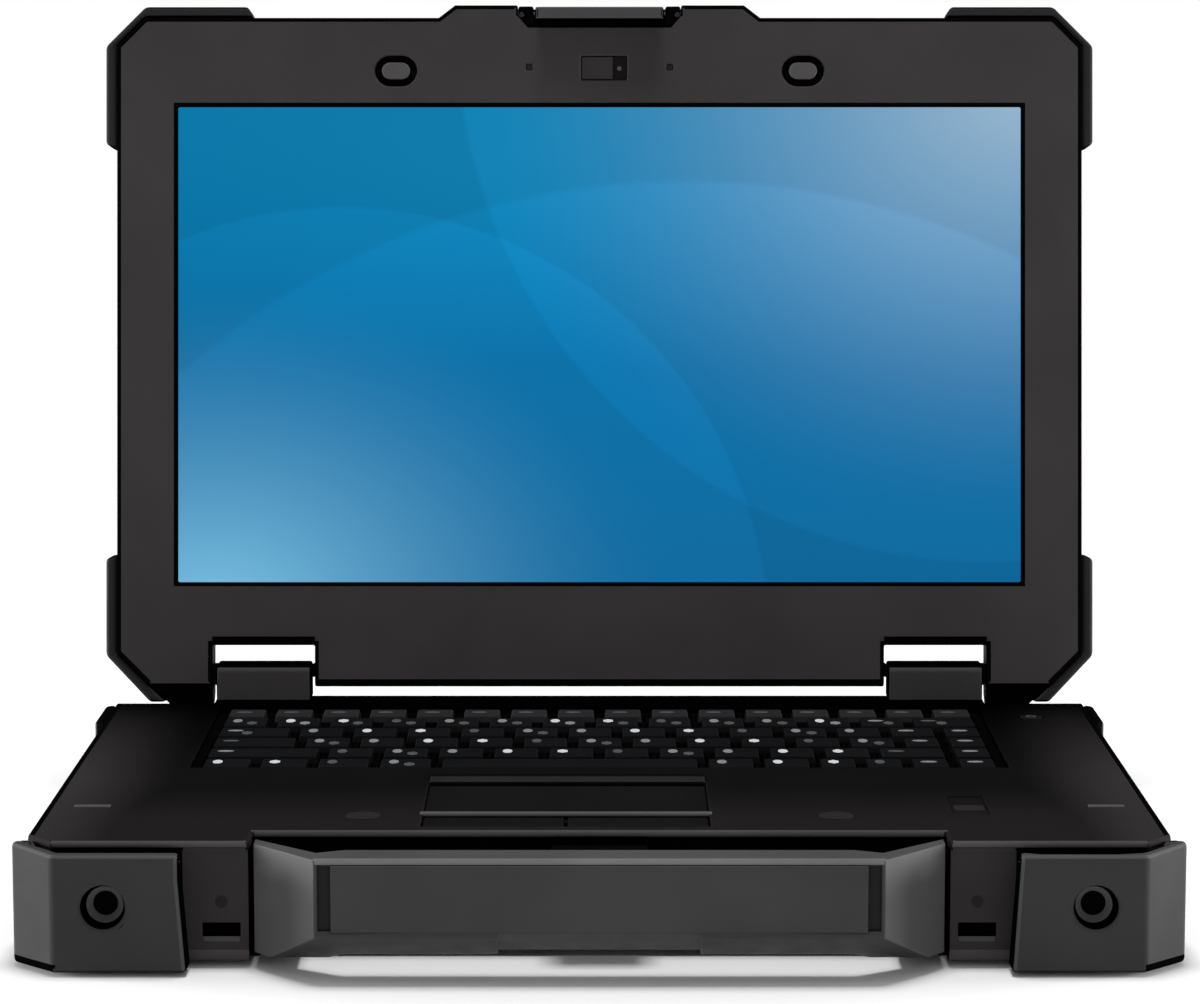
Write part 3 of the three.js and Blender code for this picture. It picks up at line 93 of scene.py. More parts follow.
def corners_in_lid(node):
    """The lowest and highest corner of a node, measured upright in the lid's own frame."""
    points = [TO_LID @ vertex.co for vertex in nodes[node].data.vertices]
    return (
        Vector(min(point[axis] for point in points) for axis in range(3)),
        Vector(max(point[axis] for point in points) for axis in range(3)),
    )


BEZEL = corners_in_lid("screen_bezel")
LID_FRONT = BEZEL[0].y
LID_TOP = BEZEL[1].z


# Settings


def linear(code):
    """Turns an sRGB hex colour into linear values with full alpha."""
    channels = [int(code[i : i + 2], 16) / 255 for i in (1, 3, 5)]
    return tuple(
        c / 12.92 if c <= 0.04045 else ((c + 0.055) / 1.055) ** 2.4 for c in channels
    ) + (1.0,)


def colour_setting(name, description, code):
    return FloatVectorProperty(
        name=name, description=description, default=linear(code),
        subtype="COLOR", size=4, min=0.0, max=1.0,
    )


def length_setting(name, description, size_mm):
    return FloatProperty(
        name=name, description=description, default=size_mm * MM,
        min=0.0, unit="LENGTH", precision=5,
    )


class LaptopShapeSettings(bpy.types.PropertyGroup):
    case_edge: length_setting("Case edge", "Rounding of the case, deck and lid edges", 0.6)
    bumper_edge: length_setting("Bumper edge", "Rounding of the soft corner bumpers", 1.5)
    key_edge: length_setting("Key edge", "Rounding of each key cap", 0.5)
    key_dish: length_setting("Key dish", "How deep the top of a key cap is dished", 0.2)
    screen_border: length_setting("Screen border", "Width of the black border", 1.5)


class LaptopColourSettings(bpy.types.PropertyGroup):
    case: colour_setting("Case", "Moulded case and panels", "#353233")
    # The deck's paler tone along its sides is a painted reflection of the lamps, and toward the
    # back the deck sinks toward black as painted shade under the lid
    deck: colour_setting("Deck", "Palm rest, away from the handled edges", "#100f0f")
    deck_pale_and_sheen: colour_setting("Deck front", "Palm rest where hands rub it paler", "#2d2a2b")
    bezel: colour_setting("Bezel", "Frame round the display", "#373535")
    bumper: colour_setting("Bumpers", "Soft corner bumpers", "#383838")
    handle: colour_setting("Handle", "Carry handle and its grip", "#343434")
    keys: colour_setting("Keys", "Key caps", "#131314")
    legends: colour_setting("Key marks", "Printed marks on the keys", "#c8c8c8")


class LaptopLightSettings(bpy.types.PropertyGroup):
    room: FloatProperty(
        name="Room light", description="Strength of the even light from all around",
        default=0.45, min=0.0,
    )
    top: FloatProperty(
        name="Top light", description="Power of the overhead softbox",
        default=22.0, min=0.0, unit="POWER",
    )
    side: FloatProperty(
        name="Side lights", description="Power of each of the two side softboxes",
        default=18.0, min=0.0, unit="POWER",
    )


# Materials


def add(tree, kind, settings=None, inputs=None):
    """Adds one shader node with its settings; an input is a value or another node's socket."""
    node = tree.nodes.new(kind)
    for key, value in (settings or {}).items():
        setattr(node, key, value)
    for key, value in (inputs or {}).items():
        if isinstance(value, bpy.types.NodeSocket):
            tree.links.new(value, node.inputs[key])
        else:
            node.inputs[key].default_value = value
    return node


def start_material(name):
    """An empty node material with its output, and the object coordinates that patterns use."""
    material = bpy.data.materials.new(name)
    material.use_nodes = True
    tree = material.node_tree
    tree.nodes.clear()
    output = add(tree, "ShaderNodeOutputMaterial")
    place = add(tree, "ShaderNodeTexCoord").outputs["Object"]
    return material, tree, output, place


def set_ramp(node, stops):
    """Sets the stops of a colour ramp from (position, linear colour) pairs."""
    elements = node.color_ramp.elements
    while len(elements) > 1:
        elements.remove(elements[-1])
    for index, (position, colour) in enumerate(stops):
        element = elements[0] if index == 0 else elements.new(position)
        element.position = position
        element.color = colour


def per_metre(size_mm):
    """The scale of a noise pattern whose features are this many millimetres across."""
    return 1 / (size_mm * MM)


def shade(colour, factor):
    """The same colour, lighter or darker by a factor."""
    return tuple(min(1.0, channel * factor) for channel in colour[:3]) + (1.0,)


def moulded(name, colour, rough, grain_mm, relief_mm, specular, front=None):
    """Moulded plastic or rubber: close tones in broad clouds under a fine even grain.

    With a front colour, the tone turns to it along the sides, a painted reflection of the lamps,
    and also toward the front; and it sinks toward black under the lid, a painted shade."""
    material, tree, output, place = start_material(name)
    clouds = add(
        tree, "ShaderNodeTexNoise",
        inputs={"Vector": place, "Scale": per_metre(45), "Detail": 3.0},
    )
    tones = add(tree, "ShaderNodeValToRGB", inputs={"Fac": clouds.outputs["Fac"]})
    set_ramp(tones, [(0.3, shade(colour, 0.9)), (0.7, shade(colour, 1.1))])
    base = tones.outputs["Color"]
    if front:
        parts = add(tree, "ShaderNodeSeparateXYZ", inputs={"Vector": place})
        # Painted shade: toward the back, under the lid, the tone sinks toward black
        lid_shade = add(
            tree, "ShaderNodeMapRange",
            inputs={
                "Value": parts.outputs["Y"], "From Min": 95 * MM, "From Max": -20 * MM,
                "To Min": 0.08, "To Max": 1.0,
            },
        )
        base = add(
            tree, "ShaderNodeVectorMath",
            settings={"operation": "SCALE"},
            inputs={0: base, "Scale": lid_shade.outputs["Result"]},
        ).outputs["Vector"]
        # Painted reflection: along the sides the tone turns paler, fading toward the back
        across = add(
            tree, "ShaderNodeMath",
            settings={"operation": "ABSOLUTE"},
            inputs={0: parts.outputs["X"]},
        )
        side = add(
            tree, "ShaderNodeMapRange",
            settings={"interpolation_type": "SMOOTHSTEP"},
            inputs={
                "Value": across.outputs["Value"], "From Min": 138 * MM, "From Max": 176 * MM,
            },
        )
        back = add(
            tree, "ShaderNodeMapRange",
            inputs={
                "Value": parts.outputs["Y"], "From Min": 100 * MM, "From Max": -30 * MM,
                "To Min": 0.05, "To Max": 1.0,
            },
        )
        side_sheen = add(
            tree, "ShaderNodeMath",
            settings={"operation": "MULTIPLY"},
            inputs={0: side.outputs["Result"], 1: back.outputs["Result"]},
        )
        # The tone also turns paler toward the front
        fore = add(
            tree, "ShaderNodeMapRange",
            settings={"interpolation_type": "SMOOTHSTEP"},
            inputs={
                "Value": parts.outputs["Y"], "From Min": -40 * MM, "From Max": -105 * MM,
                "To Max": 0.3,
            },
        )
        share = add(
            tree, "ShaderNodeMath",
            settings={"operation": "MAXIMUM"},
            inputs={0: side_sheen.outputs["Value"], 1: fore.outputs["Result"]},
        )
        base = add(
            tree, "ShaderNodeMix",
            settings={"data_type": "RGBA"},
            inputs={"Factor": share.outputs["Value"], "A": base, "B": tuple(front)},
        ).outputs["Result"]
    grain = add(
        tree, "ShaderNodeTexNoise",
        inputs={"Vector": place, "Scale": per_metre(grain_mm), "Detail": 2.0},
    )
    scuffs = add(
        tree, "ShaderNodeTexNoise",
        inputs={"Vector": place, "Scale": per_metre(grain_mm * 9), "Detail": 5.0},
    )
    sheen = add(
        tree, "ShaderNodeMapRange",
        inputs={
            "Value": scuffs.outputs["Fac"], "From Min": 0.3, "From Max": 0.7,
            "To Min": rough - 0.06, "To Max": rough + 0.06,
        },
    )
    bump = add(
        tree, "ShaderNodeBump",
        inputs={"Strength": 0.6, "Distance": relief_mm * MM, "Height": grain.outputs["Fac"]},
    )
    surface = add(
        tree, "ShaderNodeBsdfPrincipled",
        inputs={
            "Base Color": base, "Roughness": sheen.outputs["Result"],
            "Specular IOR Level": specular, "Normal": bump.outputs["Normal"],
        },
    )
    tree.links.new(surface.outputs["BSDF"], output.inputs["Surface"])
    return material


def metal(name, colour, rough, stretch):
    """Worked metal: fine lines drawn out along one axis, in tone, gloss and relief."""
    material, tree, output, place = start_material(name)
    drawn = add(tree, "ShaderNodeMapping", inputs={"Vector": place, "Scale": stretch})
    lines = add(
        tree, "ShaderNodeTexNoise",
        inputs={"Vector": drawn.outputs["Vector"], "Scale": per_metre(0.5), "Detail": 4.0},
    )
    tones = add(tree, "ShaderNodeValToRGB", inputs={"Fac": lines.outputs["Fac"]})
    set_ramp(tones, [(0.3, shade(colour, 0.8)), (0.7, shade(colour, 1.2))])
    gloss = add(
        tree, "ShaderNodeMapRange",
        inputs={"Value": lines.outputs["Fac"], "To Min": rough - 0.08, "To Max": rough + 0.08},
    )
    bump = add(
        tree, "ShaderNodeBump",
        inputs={"Strength": 0.3, "Distance": 0.05 * MM, "Height": lines.outputs["Fac"]},
    )
    surface = add(
        tree, "ShaderNodeBsdfPrincipled",
        inputs={
            "Base Color": tones.outputs["Color"], "Metallic": 1.0,
            "Roughness": gloss.outputs["Result"], "Normal": bump.outputs["Normal"],
        },
    )
    tree.links.new(surface.outputs["BSDF"], output.inputs["Surface"])
    return material


def coat(name, colour, rough, speck_mm, specular=0.5):
    """A thin printed, painted or glazed coat with faint specks of a darker tone."""
    material, tree, output, place = start_material(name)
    dust = add(
        tree, "ShaderNodeTexNoise",
        inputs={"Vector": place, "Scale": per_metre(speck_mm), "Detail": 3.0},
    )
    tones = add(tree, "ShaderNodeValToRGB", inputs={"Fac": dust.outputs["Fac"]})
    set_ramp(tones, [(0.35, tuple(colour)), (0.75, shade(colour, 0.8))])
    surface = add(
        tree, "ShaderNodeBsdfPrincipled",
        inputs={
            "Base Color": tones.outputs["Color"], "Roughness": rough,
            "Specular IOR Level": specular,
        },
    )
    tree.links.new(surface.outputs["BSDF"], output.inputs["Surface"])
    return material


def circuit_board(name):
    """Green solder mask over copper: a grid of fine traces and pads shows as lighter lines."""
    material, tree, output, place = start_material(name)
    grid = add(
        tree, "ShaderNodeTexBrick",
        inputs={
            "Vector": place, "Color1": linear("#12402a"), "Color2": linear("#174a31"),
            "Mortar": linear("#3d7a4f"), "Scale": per_metre(6), "Mortar Size": 0.03,
        },
    )
    surface = add(
        tree, "ShaderNodeBsdfPrincipled",
        inputs={"Base Color": grid.outputs["Color"], "Roughness": 0.35},
    )
    tree.links.new(surface.outputs["BSDF"], output.inputs["Surface"])
    return material


def lit_display(name):
    """A lit display: soft glows and broad overlapping rings in blues, behind plain glass."""
    material, tree, output, place = start_material(name)
    low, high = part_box("display_glass")
    inside = add(
        tree, "ShaderNodeMapping",
        settings={"vector_type": "TEXTURE"},
        inputs={
            "Vector": place, "Location": (low.x, 0.0, low.z),
            "Scale": (high.x - low.x, 1.0, high.z - low.z),
        },
    )
    parts = add(tree, "ShaderNodeSeparateXYZ", inputs={"Vector": inside.outputs["Vector"]})
    flat = add(
        tree, "ShaderNodeCombineXYZ",
        inputs={"X": parts.outputs["X"], "Z": parts.outputs["Z"]},
    ).outputs["Vector"]

    def glow(x, z, reach_x, reach_z, gradient):
        centred = add(
            tree, "ShaderNodeMapping",
            settings={"vector_type": "TEXTURE"},
            inputs={"Vector": flat, "Location": (x, 0, z), "Scale": (reach_x, 1, reach_z)},
        )
        return add(
            tree, "ShaderNodeTexGradient",
            settings={"gradient_type": gradient},
            inputs={"Vector": centred.outputs["Vector"]},
        ).outputs["Fac"]

    rise = add(tree, "ShaderNodeValToRGB", inputs={"Fac": parts.outputs["Z"]})
    set_ramp(
        rise,
        [
            (0.0, linear("#0f689c")),
            (0.45, linear("#0a6ea4")),
            (0.8, linear("#0980b6")),
            (1.0, linear("#0c84b8")),
        ],
    )
    colour = rise.outputs["Color"]
    # Each glow: its colour, its centre and reach in shares of the display, its strength
    for code, where, strength in (
        ("#a6c2d8", (1.02, 1.05, 0.7, 0.95), 1.0),
        ("#7abfe0", (0.05, -0.05, 0.55, 0.7), 1.0),
        ("#1a8fc4", (0.4, 0.9, 0.45, 0.5), 0.4),
    ):
        share = add(
            tree, "ShaderNodeMath",
            settings={"operation": "MULTIPLY"},
            inputs={0: glow(*where, "QUADRATIC_SPHERE"), 1: strength},
        )
        colour = add(
            tree, "ShaderNodeMix",
            settings={"data_type": "RGBA"},
            inputs={"Factor": share.outputs["Value"], "A": colour, "B": linear(code)},
        ).outputs["Result"]
    # Broad rings, each a shade lighter than the ground toward its rim
    for x, z, reach in ((0.2, -0.1, 0.5), (0.95, 1.15, 0.62), (0.6, -0.75, 0.9)):
        ring = add(
            tree, "ShaderNodeMapRange",
            settings={"interpolation_type": "SMOOTHSTEP"},
            inputs={
                "Value": glow(x, z, reach, reach * 1.77, "SPHERICAL"), "From Min": 0.0,
                "From Max": 0.012, "To Min": 0.94, "To Max": 1.06,
            },
        )
        colour = add(
            tree, "ShaderNodeVectorMath",
            settings={"operation": "SCALE"},
            inputs={0: colour, "Scale": ring.outputs["Result"]},
        ).outputs["Vector"]
    surface = add(
        tree, "ShaderNodeBsdfPrincipled",
        inputs={
            "Base Color": linear("#020304"), "Roughness": 0.12, "Specular IOR Level": 0.02,
            "Emission Color": colour, "Emission Strength": 1.0,
        },
    )
    tree.links.new(surface.outputs["BSDF"], output.inputs["Surface"])
    return material


def make_materials(colours):
    """Every finish of the laptop, by a short name."""
    return {
        # Glass-filled nylon from a spark-eroded mould: a fine even grain that scatters the
        # light, so that broad faces look flat and nearly black
        "case": moulded("grained_nylon_case", colours.case, 0.62, 0.7, 0.06, 0.03),
        # A lighter copy of the case colour: painted light on the case's lower bevel and on the
        # rims under the sound slots
        "bevel": moulded("lit_nylon_bevel", shade(colours.case, 1.9), 0.6, 0.7, 0.06, 0.05),
        # The deck: paler along its sides as a painted reflection, darker at the back as painted
        # shade
        "deck": moulded(
            "grained_nylon_deck", colours.deck, 0.7, 0.7, 0.06, 0.0, front=colours.deck_pale_and_sheen
        ),
        # The deck's front edge is painted pale: a painted highlight where it catches the light
        "lip": moulded("highlit_nylon_edge", linear("#4c494a"), 0.6, 0.7, 0.03, 0.0),
        # A paler tone for the rests, the reader strip and the microphone meshes, also painted on
        # the slope to the touchpad as a highlight
        "rest": moulded("pale_rest_and_slope_highlight", linear("#252324"), 0.6, 0.7, 0.03, 0.0),
        "bezel": moulded("grained_nylon_bezel", colours.bezel, 0.6, 0.8, 0.05, 0.02),
        # Thermoplastic elastomer over nylon: softer, a touch greyer, no gloss
        "bumper": moulded("elastomer_bumper", colours.bumper, 0.66, 0.9, 0.05, 0.05),
        # A lighter copy of the bumper colour: a painted highlight on rounded edges, and painted
        # light on the strap socket collars
        "bumper_edge": moulded(
            "highlit_elastomer_edge", shade(colours.bumper, 1.8), 0.66, 0.9, 0.05, 0.05
        ),
        # A darker copy of the bumper colour: painted shade on the downward faces of the base
        # bumpers and the fronts of the lid bumpers; also the colour of the panel dots and the port
        # doors
        "rim": moulded("elastomer_rim", shade(colours.bumper, 0.35), 0.66, 0.9, 0.05, 0.1),
        # Near black: painted shade of the lid on the rear bumpers, and painted shade on the latch
        # keeper
        "rear": moulded("shaded_elastomer_rear", linear("#070707"), 0.66, 0.9, 0.05, 0.0),
        # Polycarbonate blend with a satin mould finish; lighter copies of its colour are painted
        # light on its top and arms, and a painted highlight along its upper front edge
        "handle": moulded("satin_handle", colours.handle, 0.56, 0.8, 0.04, 0.2),
        "handle_top": moulded(
            "lit_satin_handle_top", shade(colours.handle, 1.7), 0.6, 0.8, 0.04, 0.0
        ),
        "handle_arm": moulded(
            "lit_satin_handle_arm", shade(colours.handle, 2.2), 0.56, 0.8, 0.04, 0.1
        ),
        "handle_edge": moulded("highlit_handle_edge", linear("#616161"), 0.5, 0.8, 0.02, 0.1),
        "recess": moulded("shadowed_recess", linear("#1f1f1f"), 0.6, 0.8, 0.04, 0.1),
        "rubber": moulded("soft_rubber", linear("#3f3f3f"), 0.72, 1.0, 0.05, 0.1),
        "pad_rubber": moulded("pale_pad_rubber", linear("#454344"), 0.72, 1.0, 0.05, 0.15),
        "foot": moulded("foot_rubber", linear("#161616"), 0.85, 1.0, 0.08, 0.2),
        # Key caps: sprayed satin plastic, worn a little smoother than the deck
        "key": moulded("satin_key", colours.keys, 0.6, 0.5, 0.02, 0.0),
        # A lighter copy of the key colour, painted light on the function row
        "top_key": moulded("lit_function_key", shade(colours.keys, 2.8), 0.6, 0.5, 0.02, 0.0),
        "control": moulded("satin_control", linear("#151414"), 0.55, 0.5, 0.02, 0.0),
        "tower": moulded("nylon_hinge_cover", linear("#373535"), 0.58, 0.8, 0.05, 0.1),
        "latch": moulded("painted_latch", linear("#3a3a3a"), 0.5, 0.8, 0.03, 0.2),
        # Black gaskets, and black painted shade in gaps, recesses, pockets and under parts: matt,
        # close to no reflection
        "gasket_and_shade": moulded("black_gasket_and_shade", linear("#050505"), 0.8, 1.0, 0.02, 0.0),
        # Pad-printed paint: bright, middling and dim marks
        "legend": coat("bright_mark", colours.legends, 0.5, 0.8, 0.1),
        "mid_legend": coat("middling_mark", shade(colours.legends, 0.35), 0.5, 0.8, 0.1),
        "dim_legend": coat("dim_mark", shade(colours.legends, 0.12), 0.5, 0.8, 0.1),
        "window": coat("smoked_window", linear("#1c191b"), 0.2, 3.0, 0.1),
        # Lens glass; the pale disc at its middle is a painted glint
        "lens": coat("lens_glass_glint", linear("#5a5658"), 0.15, 2.0),
        "battery": coat("battery_film", linear("#1b1b1d"), 0.4, 8.0),
        "copper": metal("machined_copper", linear("#b87a50"), 0.3, (1.0, 0.05, 1.0)),
        "steel": metal("brushed_steel", linear("#7c7c80"), 0.32, (0.05, 1.0, 1.0)),
        "dark_steel": metal("blackened_steel", linear("#343437"), 0.42, (0.05, 1.0, 1.0)),
        "board": circuit_board("green_solder_mask"),
        "display": lit_display("lit_display"),
    }


paint = {}


# Selecting, shaping and finishing


def deselect_all():
    for item in list(bpy.context.selected_objects):
        item.select_set(False)


def make_active(piece):
    deselect_all()
    piece.hide_set(False)
    piece.select_set(True)
    bpy.context.view_layer.objects.active = piece


def wear(piece, *finishes):
    """Gives the piece its finishes, in slot order."""
    piece.data.materials.clear()
    for name in finishes:
        piece.data.materials.append(paint[name])


def repaint(piece, finish, test):
    """Gives another finish to the faces whose centre and normal a test accepts."""
    piece.data.materials.append(paint[finish])
    slot = len(piece.data.materials) - 1
    for face in piece.data.polygons:
        if test(face.center, face.normal):
            face.material_index = slot


def edit(piece, work, faces=None, ends=None):
    """Selects faces by a test, or edges by a test of both ends, and works in edit mode."""
    make_active(piece)
    mesh = piece.data
    by_edge = ends is not None
    bpy.context.tool_settings.mesh_select_mode = (False, by_edge, not by_edge)
    for group in (mesh.vertices, mesh.edges, mesh.polygons):
        group.foreach_set("select", [False] * len(group))
    if by_edge:
        for edge in mesh.edges:
            edge.select = all(ends(mesh.vertices[i].co) for i in edge.vertices)
    else:
        for face in mesh.polygons:
            face.select = faces is None or faces(face)
    bpy.ops.object.mode_set(mode="EDIT")
    work()
    bpy.ops.object.mode_set(mode="OBJECT")


def shift(piece, by, faces=None, ends=None):
    """Moves the chosen faces or edges by a vector."""
    edit(piece, lambda: bpy.ops.transform.translate(value=by), faces, ends)


def step_in(piece, border, by, faces):
    """Insets the chosen faces by a border and moves what is left of them by a vector."""

    def work():
        bpy.ops.mesh.inset(thickness=border)
        bpy.ops.transform.translate(value=by)

    edit(piece, work, faces)


def smooth(piece, angle=42):
    make_active(piece)
    bpy.ops.object.shade_smooth_by_angle(angle=math.radians(angle))
    weight = piece.modifiers.new("weight", "WEIGHTED_NORMAL")
    weight.keep_sharp = True
    bpy.ops.object.modifier_apply(modifier="weight")


def soften(piece, width, segments=2, angle=30, clamp=True):
    """Rounds every sharp edge by a width, and shades the piece smoothly across the rounding."""
    make_active(piece)
    bevel = piece.modifiers.new("edge", "BEVEL")
    bevel.width = width
    bevel.segments = segments
    bevel.limit_method = "ANGLE"
    bevel.angle_limit = math.radians(angle)
    bevel.use_clamp_overlap = clamp
    bevel.loop_slide = False
    bpy.ops.object.modifier_apply(modifier="edge")
    smooth(piece)


def faces_up(face):
    return face.normal.z > 0.9


def faces_front(face):
    return face.normal.y < -0.9


def merged_copy(node, name):
    """A copy of a CAD node's mesh with its loose triangles merged into plain faces."""
    piece = bpy.data.objects.new(name, nodes[node].data.copy())
    bpy.context.scene.collection.objects.link(piece)
    piece.data.materials.clear()

    def merge():
        bpy.ops.mesh.remove_doubles(threshold=0.002 * MM)
        bpy.ops.mesh.dissolve_limited(angle_limit=math.radians(0.6))

    edit(piece, merge)
    return piece


def finish_piece(piece, body, slot, *replaced):
    """Ties a piece to its body and hides the nodes it stands for; its finish slot is not used."""
    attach(piece, body)
    if replaced:
        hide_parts(*replaced)
    return piece


def dressed(node, width, finish, body, slot, segments=2, clamp=True, change=None):
    """A CAD node's own shape with rounded edges, which then stands for that node."""
    piece = merged_copy(node, node + "_shape")
    if change:
        change(piece)
    soften(piece, width, segments, clamp=clamp)
    wear(piece, finish)
    return finish_piece(piece, body, slot, node)


def block(name, low, high):
    """A box between two corners, with its place in its mesh."""
    low, high = Vector(low), Vector(high)
    deselect_all()
    bpy.ops.mesh.primitive_cube_add(size=1, location=(low + high) / 2)
    piece = bpy.context.active_object
    piece.name = name
    piece.scale = high - low
    bpy.ops.object.transform_apply(location=True, rotation=True, scale=True)
    return piece


def disc(name, centre, radius, depth, axis="Z", sides=32):
    """A round plate about its centre, with its flat faces across the axis."""
    turn = {"Z": (0, 0, 0), "Y": (math.pi / 2, 0, 0), "X": (0, math.pi / 2, 0)}[axis]
    deselect_all()
    bpy.ops.mesh.primitive_cylinder_add(
        vertices=sides, radius=radius, depth=depth, location=centre, rotation=turn
    )
    piece = bpy.context.active_object
    piece.name = name
    bpy.ops.object.transform_apply(location=True, rotation=True, scale=True)
    return piece


def soft_bar(name, low, high, round_by, finish, body, slot):
    """A slim bar or plate between two corners, with rounded edges."""
    bar = block(name, low, high)
    soften(bar, round_by, 3)
    wear(bar, finish)
    return finish_piece(bar, body, slot)


def lid_bar(name, low, high, round_by, finish, slot):
    """A slim bar or plate on the lid, its corners given in the lid's upright frame."""
    bar = place(block(name, low, high), LID_PLACE)
    soften(bar, round_by, 3)
    wear(bar, finish)
    return finish_piece(bar, "lid", slot)


def join(pieces, name):
    """Joins pieces into the first one."""
    deselect_all()
    for piece in pieces:
        piece.select_set(True)
    bpy.context.view_layer.objects.active = pieces[0]
    bpy.ops.object.join()
    pieces[0].name = name
    return pieces[0]


def place(piece, matrix):
    """Moves a piece drawn in its own frame to its place, and keeps that place in its mesh."""
    piece.matrix_world = matrix @ piece.matrix_world
    make_active(piece)
    bpy.ops.object.transform_apply(location=True, rotation=True, scale=True)
    return piece


def moved_copy(piece, name, matrix):
    """A second piece with its own mesh, moved by a matrix; a mirroring one keeps faces outward."""
    other = bpy.data.objects.new(name, piece.data.copy())
    bpy.context.scene.collection.objects.link(other)
    other.data.transform(matrix)
    if matrix.determinant() < 0:
        other.data.flip_normals()
    return other


def carve(piece, cutter):
    """Cuts one shape out of another and clears the cutter away."""
    make_active(piece)
    cut = piece.modifiers.new("cut", "BOOLEAN")
    cut.operation = "DIFFERENCE"
    cut.object = cutter
    cut.solver = "EXACT"
    bpy.ops.object.modifier_apply(modifier="cut")
    bpy.data.objects.remove(cutter)


def split_level(piece, point, normal):
    """Cuts the faces of a piece along a plane, so that each side can have its own finish."""
    edit(piece, lambda: bpy.ops.mesh.bisect(plane_co=point, plane_no=normal))


# Base: case, deck, bumpers, strap sockets and handle


def build_case(shape):
    """Lower case: rounded edges, a lower bevel painted pale as painted light, and slots, vents,
    recess walls and faces behind the bumpers painted black as painted shade.
    """
    case = dressed("lower_case", shape.case_edge, "case", "base", "case_plastic", clamp=False)
    bevel_top = CASE[0].z + 4 * MM

    def on_bevel(centre, normal):
        return centre.z < bevel_top and centre.y < DECK_FRONT + 3 * MM and normal.y < -0.3

    slot_half = 6.1 * MM
    slot_low, slot_high = 10.1 * MM, 14.4 * MM
    vent_left, vent_right = -75 * MM, -13 * MM
    vent_low, vent_high = 12.6 * MM, 27.4 * MM
    skin = 0.3 * MM

    def in_shadow(centre):
        slot = abs(abs(centre.x) - SLOT_X) < slot_half and slot_low < centre.z < slot_high
        in_slot = slot and DECK_FRONT + skin < centre.y < DECK_FRONT + 6 * MM
        recess = abs(centre.x) < HANDLE_GAP - 0.2 * MM and centre.y < RECESS_EDGE
        vent = vent_left < centre.x < vent_right and vent_low < centre.z < vent_high
        in_vent = vent and CASE[1].y - 4 * MM < centre.y < CASE[1].y - skin
        return in_slot or (recess and centre.z > CASE[0].z + 0.2 * MM) or in_vent

    cover_line = BUMPER_INSIDE - 0.1 * MM
    for sign in SIGN.values():
        split_level(case, (sign * cover_line, 0, 0), (1, 0, 0))

    def behind_bumper(centre, normal):
        return abs(centre.x) > cover_line and normal.y < -0.3

    # Painted light: the lower bevel is paler
    repaint(case, "bevel", on_bevel)
    # Painted shade: slots, vents, the handle's recess and the faces behind the bumpers turn black
    repaint(case, "gasket_and_shade", lambda c, n: in_shadow(c) or behind_bumper(c, n))
    # A trim strip closes the seam under the deck's edge; a pale rim, a painted highlight, lies
    # under each sound slot, with a faint dot above it
    for side in SIDES:
        middle = SIGN[side] * SLOT_X
        low_x, high_x = x_span(side, 108.8 * MM, 128.2 * MM)
        rim_half = 5.7 * MM
        rim_top = slot_low - 0.1 * MM
        soft_bar(
            f"slot_rim_{side}",
            (middle - rim_half, DECK_FRONT - 0.25 * MM, rim_top - 1.6 * MM),
            (middle + rim_half, DECK_FRONT + 0.4 * MM, rim_top),
            0.3 * MM, "bevel", "base", "case_plastic",
        )
        soft_bar(
            f"panel_trim_{side}",
            (low_x, DECK_FRONT - 0.1 * MM, CASE[1].z - 0.9 * MM),
            (high_x, DECK_FRONT + 0.6 * MM, CASE[1].z + 0.5 * MM),
            0.2 * MM, "case", "base", "case_plastic",
        )
        dot = disc(f"panel_dot_{side}", (middle, DECK_FRONT, 21 * MM), 1.9 * MM, 0.3 * MM, "Y")
        step_in(dot, 1.1 * MM, (0, 0.1 * MM, 0), faces_front)
        smooth(dot, 60)
        wear(dot, "rim")
        finish_piece(dot, "base", "case_plastic")


